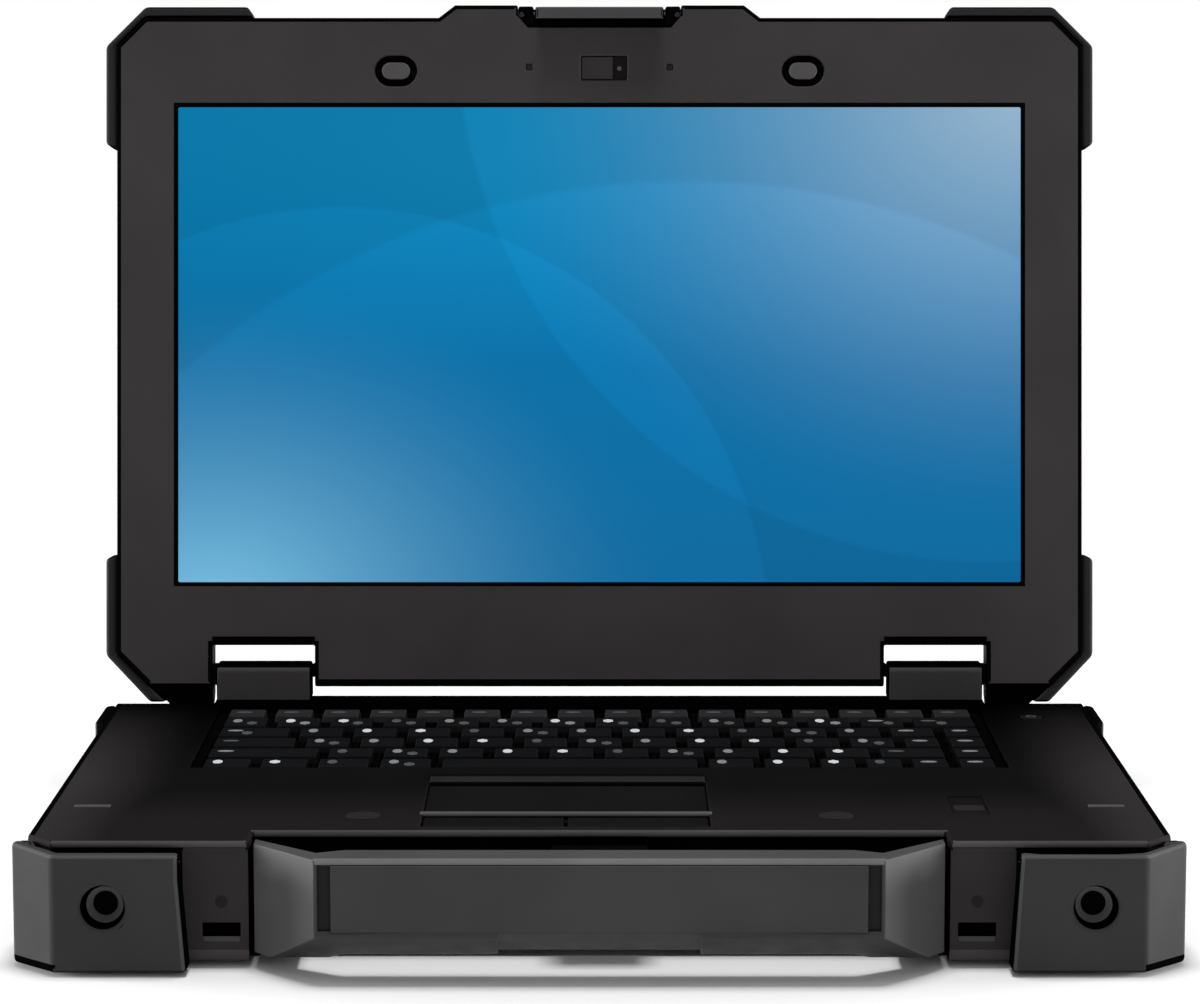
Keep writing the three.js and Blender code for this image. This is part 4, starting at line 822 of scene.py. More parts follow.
def build_deck(shape):
    """Palm rest deck: a front edge painted pale as a highlight, black painted shade below it and
    along its sides, and a slope, painted paler as a highlight, that leads down to the touchpad.
    """
    rear = PAD[1].y
    left, right = PAD[0].x - 0.3 * MM, PAD[1].x + 0.3 * MM
    groove_end = rear + 4 * MM
    slope_end = rear + 11 * MM
    slope_low = DECK_TOP - 0.7 * MM

    def cut_approach(piece):
        edit(
            piece,
            lambda: bpy.ops.mesh.bevel(
                offset=1.5 * MM, segments=4, affect="EDGES", loop_slide=False
            ),
            ends=lambda p: p.z > DECK_TOP - NEAR and p.y < RECESS_EDGE,
        )
        carve(
            piece,
            block(
                "groove_cutter",
                (left, rear - MM, PAD[1].z),
                (right, groove_end, DECK_TOP + 3 * MM),
            ),
        )
        wedge = block(
            "slope_cutter",
            (left, groove_end - 0.5 * MM, slope_low),
            (right, slope_end, DECK_TOP + 3 * MM),
        )
        shift(
            wedge,
            (0, 0, DECK_TOP - slope_low),
            ends=lambda p: p.y > slope_end - NEAR and p.z < DECK_TOP,
        )
        carve(piece, wedge)

    deck = dressed(
        "palmrest_deck", shape.case_edge, "deck", "base", "deck_plastic",
        clamp=False, change=cut_approach,
    )
    seam_top = DECK[0].z + 0.4 * MM
    split_level(deck, (0, 0, seam_top), (0, 0, 1))
    edge_line = DECK[1].x - 2.1 * MM
    for sign in SIGN.values():
        split_level(deck, (sign * edge_line, 0, 0), (1, 0, 0))

    def on_front(centre, normal):
        return centre.y < RECESS_EDGE and normal.y < -0.2 and abs(normal.x) < 0.2

    def over_slope(centre, normal):
        inside = left < centre.x < right and rear < centre.y < slope_end
        return inside and slope_low - 0.1 * MM < centre.z < DECK_TOP - 0.1 * MM

    # Painted highlight on the front edge above the seam
    repaint(deck, "lip", lambda c, n: on_front(c, n) and c.z > seam_top)
    # Painted shade: black in the seam below the front edge, except over the panels beside the
    # handle
    repaint(
        deck, "gasket_and_shade",
        lambda c, n: on_front(c, n)
        and c.z < seam_top
        and not HANDLE_GAP < abs(c.x) < BUMPER_INSIDE,
    )
    # Painted highlight: the slope to the touchpad is paler
    repaint(deck, "rest", over_slope)
    # Painted shade: black strips along the deck's sides, beside the bumpers
    repaint(deck, "gasket_and_shade", lambda c, n: abs(c.x) > edge_line and c.y > DECK_FRONT + 10 * MM)
    # A black bead in the groove behind the touchpad stands for the groove's shade
    soft_bar(
        "touchpad_rear_shade_bead",
        (left + 0.1 * MM, rear + 0.3 * MM, PAD[1].z - 0.3 * MM),
        (right - 0.1 * MM, groove_end - 0.1 * MM, slope_low + 0.1 * MM),
        0.3 * MM, "gasket_and_shade", "base", "deck_plastic",
    )
    # A raised ridge before the touchpad, in the pale tone of a painted highlight
    soft_bar(
        "touchpad_ridge",
        (left - 0.9 * MM, PAD[0].y - 2.3 * MM, PAD[0].z),
        (right + 0.9 * MM, PAD[0].y + 1.4 * MM, DECK_TOP + 0.35 * MM),
        0.8 * MM, "lip", "base", "deck_plastic",
    )
    # Landing discs for the lid's pads, and a short raised rib near each side, its top painted pale
    # as a highlight
    for side in SIDES:
        landing = disc(
            f"landing_disc_{side}", (SIGN[side] * 75 * MM, -93 * MM, DECK_TOP + 0.05 * MM),
            5.6 * MM, 0.3 * MM,
        )
        step_in(landing, 1.2 * MM, (0, 0, 0.12 * MM), faces_up)
        smooth(landing, 60)
        wear(landing, "rest")
        finish_piece(landing, "base", "deck_plastic")
        low_x, high_x = x_span(side, 156.8 * MM, 168.4 * MM)
        soft_bar(
            f"deck_rib_{side}",
            (low_x, -79.6 * MM, DECK_TOP - 0.3 * MM),
            (high_x, -76.4 * MM, DECK_TOP + 0.25 * MM),
            0.25 * MM, "lip", "base", "deck_plastic",
        )


def build_bumpers(shape):
    """Corner bumpers of the base: flared feet, broad rounded edges and strap sockets."""
    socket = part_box("strap_socket_right")
    middle = (socket[0] + socket[1]) / 2
    rebate_end = 177 * MM
    rebate_depth = 4.5 * MM
    edge_drop = 1.1 * MM
    wrap_room = 1.2 * MM
    foot_flare = 2.2 * MM
    bore = 6.9 * MM
    collar_bore = 3.85 * MM
    for side in SIDES:
        sign = SIGN[side]

        def flare(piece):
            top = BUMPER[1].z
            shift(
                piece,
                (0, 0, -edge_drop),
                ends=lambda p: p.z > top - NEAR and p.y < BUMPER[0].y + NEAR,
            )
            # A rebate along the deck's edge, turned with its corner, shows as a black line, its
            # faces painted black as shade
            low_x, high_x = x_span(side, 127 * MM, rebate_end)
            low = Vector((low_x, BUMPER[0].y + 4 * MM, top - rebate_depth))
            cutter = block("rebate_cutter", low, (high_x, DECK_FRONT + 4 * MM, top + 2 * MM))
            edit(
                cutter,
                lambda: bpy.ops.mesh.bevel(offset=11.2 * MM, segments=1, affect="EDGES"),
                ends=lambda p: p.x * sign > rebate_end - MM and p.y < low.y + NEAR,
            )
            carve(piece, cutter)
            # The wrap beside the deck is a little longer, to leave room for its rounding
            shift(
                piece,
                (0, wrap_room, 0),
                faces=lambda face: face.normal.y > 0.9
                and face.center.z > 30.5 * MM
                and abs(face.center.x) > 175 * MM,
            )
            shift(
                piece,
                (-sign * foot_flare, 0, 0),
                ends=lambda p: abs(p.x) < BUMPER_INSIDE + NEAR
                and p.z < BUMPER[0].z + 2 * MM
                and p.y < DECK_FRONT - NEAR,
            )

        front = dressed(
            f"front_bumper_{side}", shape.bumper_edge, "bumper", "base", "bumper_plastic",
            segments=4, clamp=False, change=flare,
        )

        def inner_or_bore(centre, normal):
            reach = math.hypot(abs(centre.x) - middle.x, centre.z - middle.z)
            in_bore = reach < bore and abs(normal.y) < 0.6
            inner = normal.x * sign < -0.75 and abs(centre.x) < BUMPER_INSIDE + 2 * MM
            return (in_bore or inner) and centre.y < DECK_FRONT + 2 * MM

        foot_line = BUMPER[0].z + 2.7 * MM
        split_level(front, (0, 0, foot_line), (0, 0, 1))

        def in_rebate(centre, normal):
            depth = BUMPER[1].z - centre.z
            deep = 1.8 * MM < depth < rebate_depth + 0.2 * MM
            behind = centre.y > BUMPER[0].y + 3.8 * MM
            return deep and behind and (normal.z > 0.3 or normal.y > 0.3)

        def on_highlit_edge(centre, normal):
            near = abs(centre.x) < BUMPER_INSIDE + 4 * MM
            inner = near and -0.93 < normal.x * sign < -0.1
            upper = centre.z > 34 * MM and normal.z > 0.2
            return (inner or upper) and normal.y < -0.3

        # Painted highlight on the inner and upper rounded edges
        repaint(front, "bumper_edge", on_highlit_edge)
        # Painted shade: black in the rebate, under the chamfer's foot, on the inner side and in
        # the bore; darker on downward faces
        repaint(front, "gasket_and_shade", in_rebate)
        repaint(front, "rim", lambda c, n: n.z < -0.35 and c.z < 10 * MM)
        repaint(front, "gasket_and_shade", lambda c, n: c.z < foot_line and n.x * sign > 0.3)
        repaint(front, "gasket_and_shade", inner_or_bore)
        # The rear bumpers are near black as painted shade of the lid, in the bumper colour only on
        # faces turned to the side and back
        rear = dressed(
            f"rear_bumper_{side}", 1.2 * MM, "rear", "base", "bumper_plastic",
            segments=3, clamp=False,
        )
        repaint(rear, "bumper", lambda c, n: n.x * sign > 0.8 or n.y > 0.5)
        # Strap socket: a collar round a dark bore, set back in the bumper; the collar is painted
        # lighter as painted light, and the bore and the plate behind it are painted black as shade
        centre = Vector((sign * (middle.x - 0.5 * MM), 0, middle.z + 0.5 * MM))
        collar = disc(
            "collar", centre + Vector((0, socket[0].y + 3.5 * MM, 0)),
            5.7 * MM, 7 * MM, "Y", 48,
        )
        step_in(collar, 1.9 * MM, (0, 2.5 * MM, 0), faces_front)
        soften(collar, 0.35 * MM, 3)
        wear(collar, "bumper_edge")
        repaint(
            collar, "gasket_and_shade",
            lambda c, n: math.hypot(c.x - centre.x, c.z - centre.z) < collar_bore,
        )
        backing = disc(
            "backing", centre + Vector((0, socket[1].y - 1.5 * MM, 0)), 6.0 * MM, 3 * MM, "Y", 48
        )
        wear(backing, "gasket_and_shade")
        whole = join([collar, backing], f"strap_socket_{side}_shape")
        finish_piece(whole, "base", "plain_steel", f"strap_socket_{side}")


def build_handle(shape):
    """Carry handle with its grip, painted light on its top and arms, painted shade in its recess,
    a painted highlight along its front edge, and the latch keeper behind it.
    """
    outer = HANDLE[1].x
    end_gap = 1.2 * MM

    def narrow(piece):
        for sign in SIGN.values():
            shift(
                piece,
                (-sign * end_gap, 0, 0),
                faces=lambda face: face.center.x * sign > outer - NEAR,
            )

    front = HANDLE[0].y
    grip_low, grip_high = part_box("handle_grip")
    lip = 0.2 * MM
    recess_half = 85.4 * MM

    def close_recess(piece):
        """Fills the grip's recess, so that the edges round evenly before it is cut again."""
        narrow(piece)

        def inside(p):
            return abs(p.x) < 85.6 * MM and 16.4 * MM < p.z < 37.8 * MM

        edit(
            piece,
            lambda: bpy.ops.mesh.delete(type="FACE"),
            faces=lambda f: inside(f.center)
            and front + 0.3 * MM < f.center.y < front + 1.5 * MM,
        )

        def fill():
            bpy.ops.mesh.edge_face_add()
            bpy.ops.mesh.select_all(action="SELECT")
            bpy.ops.mesh.dissolve_limited(angle_limit=math.radians(0.6))
            bpy.ops.mesh.normals_make_consistent(inside=False)

        edit(piece, fill, ends=lambda p: inside(p) and abs(p.y - front) < NEAR)

    handle = dressed(
        "carry_handle", 0.45 * MM, "handle", "base", "handle_plastic",
        segments=3, clamp=False, change=close_recess,
    )
    carve(
        handle,
        block(
            "recess_cutter",
            (-recess_half, front - MM, grip_low.z + lip),
            (recess_half, front + 1.2 * MM, grip_high.z + lip),
        ),
    )
    smooth(handle)
    bar_half = 86.3 * MM

    def in_recess(centre):
        inside = abs(centre.x) < bar_half - 0.6 * MM and 17.5 * MM < centre.z < 37.9 * MM
        return inside and front + 0.15 * MM < centre.y < front + 1.5 * MM

    def on_arm(centre, normal):
        return abs(centre.x) > bar_half + 0.3 * MM and normal.y < -0.25

    def on_edge(centre, normal):
        high = centre.z > 37.6 * MM and centre.y < front + 2.2 * MM
        return high and abs(centre.x) < bar_half + 0.3 * MM and normal.z > 0.25

    # Painted light on the arms and top, painted shade in the recess, and a painted highlight along
    # the upper front edge
    repaint(handle, "handle_arm", on_arm)
    repaint(handle, "handle_top", lambda c, n: n.z > 0.6 and c.z > 29 * MM)
    repaint(handle, "recess", lambda c, n: in_recess(c))
    repaint(handle, "handle_edge", on_edge)
    grip = dressed("handle_grip", 0.35 * MM, "rubber", "base", "black_rubber", clamp=False)
    # The grip's ends take the recess's painted shade
    repaint(grip, "recess", lambda c, n: abs(n.x) > 0.5)
    # The latch keeper is painted near black as shade
    dressed("latch_keeper", 0.3 * MM, "rear", "base", "plain_steel", clamp=False)


# Keyboard


KEY_ROWS = (
    "key_row_function",
    "key_row_number",
    "key_row_upper",
    "key_row_middle",
    "key_row_lower",
    "key_row_control",
    "space_bar",
)
LEGENDS = ("legend", "mid_legend", "dim_legend")


def key_tops(row):
    """The flat top of each key of a row, as its lowest and highest corner in plan."""
    piece = merged_copy(row, "key_probe")
    mesh = piece.data
    top = max(v.co.z for v in mesh.vertices)
    found = []
    for face in mesh.polygons:
        if face.normal.z > 0.99 and face.center.z > top - 0.01 * MM:
            corners = [mesh.vertices[i].co for i in face.vertices]
            found.append(
                (
                    min(c.x for c in corners),
                    min(c.y for c in corners),
                    max(c.x for c in corners),
                    max(c.y for c in corners),
                )
            )
    bpy.data.objects.remove(piece)
    return sorted(found), top


def key_cap(width, depth, height, shape):
    """One key cap about the origin: sloped sides, rounded edges and a shallow dished top."""
    slant = MM
    cap = block(
        "key_cap", (-width / 2 - slant, -depth / 2 - slant, -height),
        (width / 2 + slant, depth / 2 + slant, 0),
    )

    def taper():
        bpy.ops.transform.resize(
            value=(width / (width + 2 * slant), depth / (depth + 2 * slant), 1),
            center_override=(0, 0, 0),
        )

    edit(cap, taper, faces_up)
    soften(cap, shape.key_edge, 2)
    step_in(
        cap, 1.1 * MM, (0, 0, -shape.key_dish),
        lambda face: face.normal.z > 0.999 and face.area > 9 * MM * MM,
    )
    smooth(cap, 50)
    return cap


def mark_shapes():
    """Small plain marks of three outlines, each a thin plate about the origin."""
    marks = []
    for name, sides, x, y in (
        ("mark_pill", 12, 1.7, 3.2),
        ("mark_block", 6, 2.0, 3.0),
        ("mark_dash", 8, 2.9, 1.5),
    ):
        mark = disc(name, (0, 0, 0), MM, 0.05 * MM, sides=sides)
        mark.data.transform(Matrix.Diagonal((x, y, 1, 1)))
        wear(mark, *LEGENDS)
        marks.append(mark)
    return marks


def build_keyboard(shape):
    """Key caps with dished tops and small plain marks, over the grid plate, painted black as shade
    between the keys.
    """
    dressed("keyboard_frame", 0.3 * MM, "gasket_and_shade", "base", "deck_plastic", clamp=False)
    # A thin black sheet under the keys, painted shade, closes the view into the case
    low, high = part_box("keyboard_frame")
    soft_bar(
        "key_shade_sheet",
        (low.x + 3 * MM, low.y + 3 * MM, low.z - 1.4 * MM),
        (high.x - 3 * MM, high.y - 3 * MM, low.z - 0.9 * MM),
        0.1 * MM, "gasket_and_shade", "base", "deck_plastic",
    )
    pill, square, dash = mark_shapes()
    caps = {}
    for number, row in enumerate(KEY_ROWS):
        tops, level = key_tops(row)
        low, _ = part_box(row)
        pieces = []
        marks = []

        def add_mark(kind, at, strength):
            mark = moved_copy(kind, "mark", Matrix.Translation(at))
            for face in mark.data.polygons:
                face.material_index = strength
            marks.append(mark)

        for index, (x0, y0, x1, y1) in enumerate(tops):
            size = (round((x1 - x0) / MM, 2), round((y1 - y0) / MM, 2))
            if size not in caps:
                caps[size] = key_cap(x1 - x0, y1 - y0, level - low.z - 1.3 * MM, shape)
            centre = Matrix.Translation(((x0 + x1) / 2, (y0 + y1) / 2, level))
            pieces.append(moved_copy(caps[size], "key", centre))
            if row == "space_bar":
                continue
            face_level = level - shape.key_dish + 0.02 * MM
            spot = Vector((x0 + 4.2 * MM, y1 - 4.4 * MM, face_level))
            last = index >= len(tops) - 2
            turn = (index * 7 + number * 3) % 5
            if number == 0:
                add_mark(dash, spot + Vector((MM, 0, 0)), 2)
                continue
            if x1 - x0 > 19 * MM or last:
                add_mark(dash, spot + Vector((MM, 0, 0)), 1 if turn < 4 else 2)
            else:
                add_mark(square if turn == 2 else pill, spot, (0, 1, 0, 1, 2)[turn])
            if number == 1 or turn == 1:
                second = spot + Vector((5.4 * MM, -4.2 * MM, 0))
                if second.x < x1 - 2 * MM:
                    add_mark(square, second, 2 if turn else 1)
        caps_piece = join(pieces, row + "_caps")
        # The function row takes the lighter key colour, painted light
        wear(caps_piece, "top_key" if number == 0 else "key")
        finish_piece(caps_piece, row, "key_plastic", row)
        if marks:
            finish_piece(join(marks, row + "_marks"), row, "key_plastic")
    for spare in [*caps.values(), pill, square, dash]:
        bpy.data.objects.remove(spare)


# Touchpad, buttons, reader and power button


def build_touchpad():
    """Touchpad, its two buttons, the fingerprint reader and the power button."""
    dressed("touchpad", 0.3 * MM, "control", "base", "control_plastic")
    for side in SIDES:
        name = f"touchpad_button_{side}"
        dressed(name, 0.6 * MM, "control", name, "control_plastic")
    # A black sheet under the pad and its buttons, painted shade, closes the view into the case
    edge = 1.5 * MM
    sheet_level = PAD[0].z - 3 * MM
    soft_bar(
        "pad_sheet",
        (PAD[0].x - edge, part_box("touchpad_button_left")[0].y - edge, sheet_level),
        (PAD[1].x + edge, PAD[1].y + edge, sheet_level + 0.6 * MM),
        0.1 * MM, "gasket_and_shade", "base", "deck_plastic",
    )
    low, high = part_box("fingerprint_reader")
    middle = (low + high) / 2

    def fill_opening(piece):
        """Brings the reader's sides out close to the deck, so that its seam is a fine line."""

        def widen():
            bpy.ops.transform.resize(
                value=(1 + 0.4 * MM / (high.x - low.x), 1 + 0.4 * MM / (high.y - low.y), 1),
                center_override=middle,
            )

        edit(piece, widen)

    dressed(
        "fingerprint_reader", 0.15 * MM, "deck", "base", "control_plastic",
        change=fill_opening,
    )
    soft_bar(
        "reader_strip",
        (low.x + 0.6 * MM, low.y + 7 * MM, high.z - 0.3 * MM),
        (high.x - 0.6 * MM, low.y + 15 * MM, high.z + 0.25 * MM),
        0.25 * MM, "rest", "base", "control_plastic",
    )
    dressed("power_button", 0.4 * MM, "control", "power_button", "control_plastic")
    low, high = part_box("power_button")
    middle = (low + high) / 2
    mark = disc("power_mark", (middle.x, middle.y, high.z), 1.8 * MM, 0.06 * MM)

    def open_ring():
        bpy.ops.mesh.inset(thickness=0.6 * MM)
        bpy.ops.mesh.bridge_edge_loops()

    edit(mark, open_ring, faces=lambda face: abs(face.normal.z) > 0.9)
    smooth(mark)
    wear(mark, "dim_legend")
    finish_piece(mark, "power_button", "control_plastic")


# Hinges


def build_hinges():
    """Hinge towers with sides, top and foot painted black as shade, and the lid's cheeks and bands
    beside them, black as painted shade.
    """
    for side in SIDES:
        name = f"hinge_tower_{side}"
        low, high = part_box(name)
        tower = dressed(
            name, 0.8 * MM, "tower", "base", "control_plastic", segments=3, clamp=False
        )

        foot = low.z + 0.7 * MM
        # Painted shade: the tower's sides, top and foot are black
        repaint(tower, "gasket_and_shade", lambda c, n: abs(n.x) > 0.7 or n.z > 0.7 or c.z < foot)
        inner, outer = min(abs(low.x), abs(high.x)), max(abs(low.x), abs(high.x))
        # Black cheeks and a band beside each tower stand for shade
        for place_name, start, bottom in (
            ("inner", inner - 1.6 * MM, 0.8 * MM),
            ("outer", outer + 0.3 * MM, -1.9 * MM),
        ):
            low_x, high_x = x_span(side, start, start + 1.3 * MM)
            lid_bar(
                f"notch_cheek_{place_name}_{side}",
                (low_x, -6.8 * MM, bottom), (high_x, 6.6 * MM, 5.5 * MM),
                0.3 * MM, "gasket_and_shade", "bezel_plastic",
            )
        low_x, high_x = x_span(side, inner - 1.6 * MM, outer + 1.6 * MM)
        lid_bar(
            f"notch_band_{side}",
            (low_x, LID_FRONT - 0.12 * MM, 12.5 * MM), (high_x, -6.2 * MM, 15.7 * MM),
            0.1 * MM, "gasket_and_shade", "bezel_plastic",
        )


# Lid


def in_lid(test):
    """Turns a test of points in the lid's upright frame into one of points as they stand."""
    turn = TO_LID.to_3x3()
    return lambda centre, normal: test(TO_LID @ centre, turn @ normal)


def build_lid(shape):
    """Lid shell, bezel with its edges painted black as shade, corner bumpers painted dark as
    shade, and landing pads.
    """
    shell = dressed("lid_shell", shape.case_edge, "case", "lid", "case_plastic", clamp=False)

    def in_latch_pocket(c):
        return c.z > 239 * MM and abs(c.x) < 29.9 * MM and c.y < 4 * MM

    # Painted shade: the shell's front faces and the latch pocket are black
    repaint(shell, "gasket_and_shade", in_lid(lambda c, n: n.y < -0.5 or in_latch_pocket(c)))

    bezel = merged_copy("screen_bezel", "screen_bezel_shape")
    bezel.data.transform(TO_LID)
    soften(bezel, shape.case_edge, 3, angle=50, clamp=False)

    def on_face(face):
        return face.normal.y < -0.99 and abs(face.center.y - LID_FRONT) < NEAR

    edit(
        bezel,
        lambda: bpy.ops.mesh.inset(thickness=max(shape.screen_border - shape.case_edge, NEAR)),
        faces=on_face,
    )
    wear(bezel, "bezel", "gasket_and_shade")
    # A black border, partly painted shade, runs round every edge of the frame's face, the screen
    # opening included, and the edge roundings and hole walls are black as painted shade, except
    # round the pads, camera and microphones, at the latch and along the feet of the frame
    holes_low, holes_high = 214 * MM, 232 * MM
    for face in bezel.data.polygons:
        spot = face.center
        small_hole = abs(spot.x) < 85 * MM and holes_low < spot.z < holes_high
        if on_face(face):
            latch = spot.z > 238 * MM and abs(spot.x) < 34 * MM
            foot_edge = spot.z < 1.5 * MM and abs(spot.x) > 142 * MM
            black = not (face.select or small_hole or latch or foot_edge)
        else:
            black = not (small_hole and spot.y < LID_FRONT + 0.5 * MM)
        face.material_index = 1 if black else 0
    bezel.data.transform(LID_PLACE)
    make_active(bezel)
    bpy.ops.mesh.customdata_custom_splitnormals_clear()
    bpy.ops.object.shade_flat()
    finish_piece(bezel, "lid", "bezel_plastic", "screen_bezel")

    for side in SIDES:
        for end in ("top", "bottom"):
            bumper = dressed(
                f"lid_bumper_{end}_{side}", 1.2 * MM, "rim", "lid", "bumper_plastic",
                segments=3, clamp=False,
            )
            # Painted shade: the lid bumpers are darker on their fronts and black on their top and
            # bottom faces
            repaint(bumper, "bumper", in_lid(lambda c, n: n.y > 0.5 or abs(n.x) > 0.9))
            repaint(bumper, "gasket_and_shade", in_lid(lambda c, n: abs(n.z) > 0.6))
        dressed(f"bezel_pad_{side}", 0.5 * MM, "pad_rubber", "lid", "black_rubber", segments=3)


def build_screen():
    """Display glass with its lit picture."""
    dressed("display_glass", 0.2 * MM, "display", "lid", "display")


def build_camera_and_latch():
    """Camera shutter and lens with a painted glint, and the latch lever between its pockets, black
    as painted shade.
    """
    dressed("camera_shutter", 0.2 * MM, "bezel", "shutter", "bezel_plastic")
    window = corners_in_lid("camera_shutter")
    level = (window[0].z + window[1].z) / 2
    # The lens lies behind the shutter's path
    lens_x = 7.3 * MM
    lens = disc("camera_lens", (lens_x, -4.7 * MM, level), 1.3 * MM, 0.5 * MM, "Y")
    step_in(lens, 0.5 * MM, (0, -0.08 * MM, 0), faces_front)
    smooth(lens, 70)
    wear(lens, "window")
    # Painted glint: a pale disc at the lens's middle
    repaint(lens, "lens", lambda c, n: n.y < -0.9 and math.hypot(c.x - lens_x, c.z - level) < MM)
    place(lens, LID_PLACE)
    finish_piece(lens, "lid", "control_plastic")

    # A fine mesh closes each microphone hole
    for side in SIDES:
        middle = SIGN[side] * 25.8 * MM
        lid_bar(
            f"mic_mesh_{side}",
            (middle - MM, -6.7 * MM, 223.5 * MM), (middle + MM, -6.0 * MM, 225.6 * MM),
            0.1 * MM, "rest", "bezel_plastic",
        )

    lever = dressed(
        "latch_lever", 0.6 * MM, "latch", "latch", "dark_steel", segments=3, clamp=False
    )
    # Painted shade: the lever's underside and ends are black, and so are the pockets beside it
    repaint(lever, "gasket_and_shade", in_lid(lambda c, n: n.z < -0.5 or abs(n.x) > 0.7))
    for side in SIDES:
        sign = SIGN[side]
        low_x, high_x = x_span(side, 24.2 * MM, 29.8 * MM)
        lid_bar(
            f"latch_pocket_{side}",
            (low_x, -6.5 * MM, 239.9 * MM), (high_x, -2.0 * MM, LID_TOP - 0.3 * MM),
            0.8 * MM, "gasket_and_shade", "bezel_plastic",
        )
        low_x, high_x = x_span(side, 26 * MM, 30.9 * MM)
        corner = block(
            f"latch_notch_corner_{side}",
            (low_x, LID_FRONT - 0.02 * MM, 238.8 * MM),
            (high_x, -6.0 * MM, 243.4 * MM),
        )
        shift(
            corner,
            (sign * 4 * MM, 0, 0),
            ends=lambda p: p.z > 242 * MM and p.x * sign < 27 * MM,
        )
        place(corner, LID_PLACE)
        wear(corner, "bezel")
        finish_piece(corner, "lid", "bezel_plastic")
        pin = disc(
            f"latch_pin_end_{side}", (sign * 28.6 * MM, -6.7 * MM, 243.9 * MM),
            0.9 * MM, 0.8 * MM, "Y", 24,
        )
        soften(pin, 0.25 * MM, 3)
        wear(pin, "dark_steel")
        place(pin, LID_PLACE)
        finish_piece(pin, "lid", "plain_steel")


# Sides, underside and inner pieces


def build_underside(shape):
    """Feet, battery latch and port doors."""
    for side in SIDES:
        for end in ("front", "rear"):
            dressed(f"foot_{end}_{side}", 0.6 * MM, "foot", "base", "black_rubber", segments=3)
        name = f"port_door_{side}"
        dressed(name, 0.4 * MM, "rim", name, "case_plastic", clamp=False)
    dressed("battery_latch", 0.3 * MM, "control", "battery_latch", "control_plastic")


INNER_FINISHES = {
    "main_board": "board", "memory_module": "board", "heat_sink": "copper",
    "fan_housing": "dark_steel", "fan_rotor": "control", "battery_pack": "battery",
    "storage_drive": "steel", "speaker_right": "gasket_and_shade", "speaker_left": "gasket_and_shade",
    "lcd_panel": "steel", "camera_module": "window", "hinge_pin_right": "steel",
    "hinge_pin_left": "steel", "lid_hinge_bracket_right": "dark_steel",
    "lid_hinge_bracket_left": "dark_steel",
}


def dress_inner_nodes():
    """Finishes for the solids that keep their own shape."""
    for node, finish in INNER_FINISHES.items():
        nodes[node].data.materials.clear()
        nodes[node].data.materials.append(paint[finish])


# Floor, lights and camera


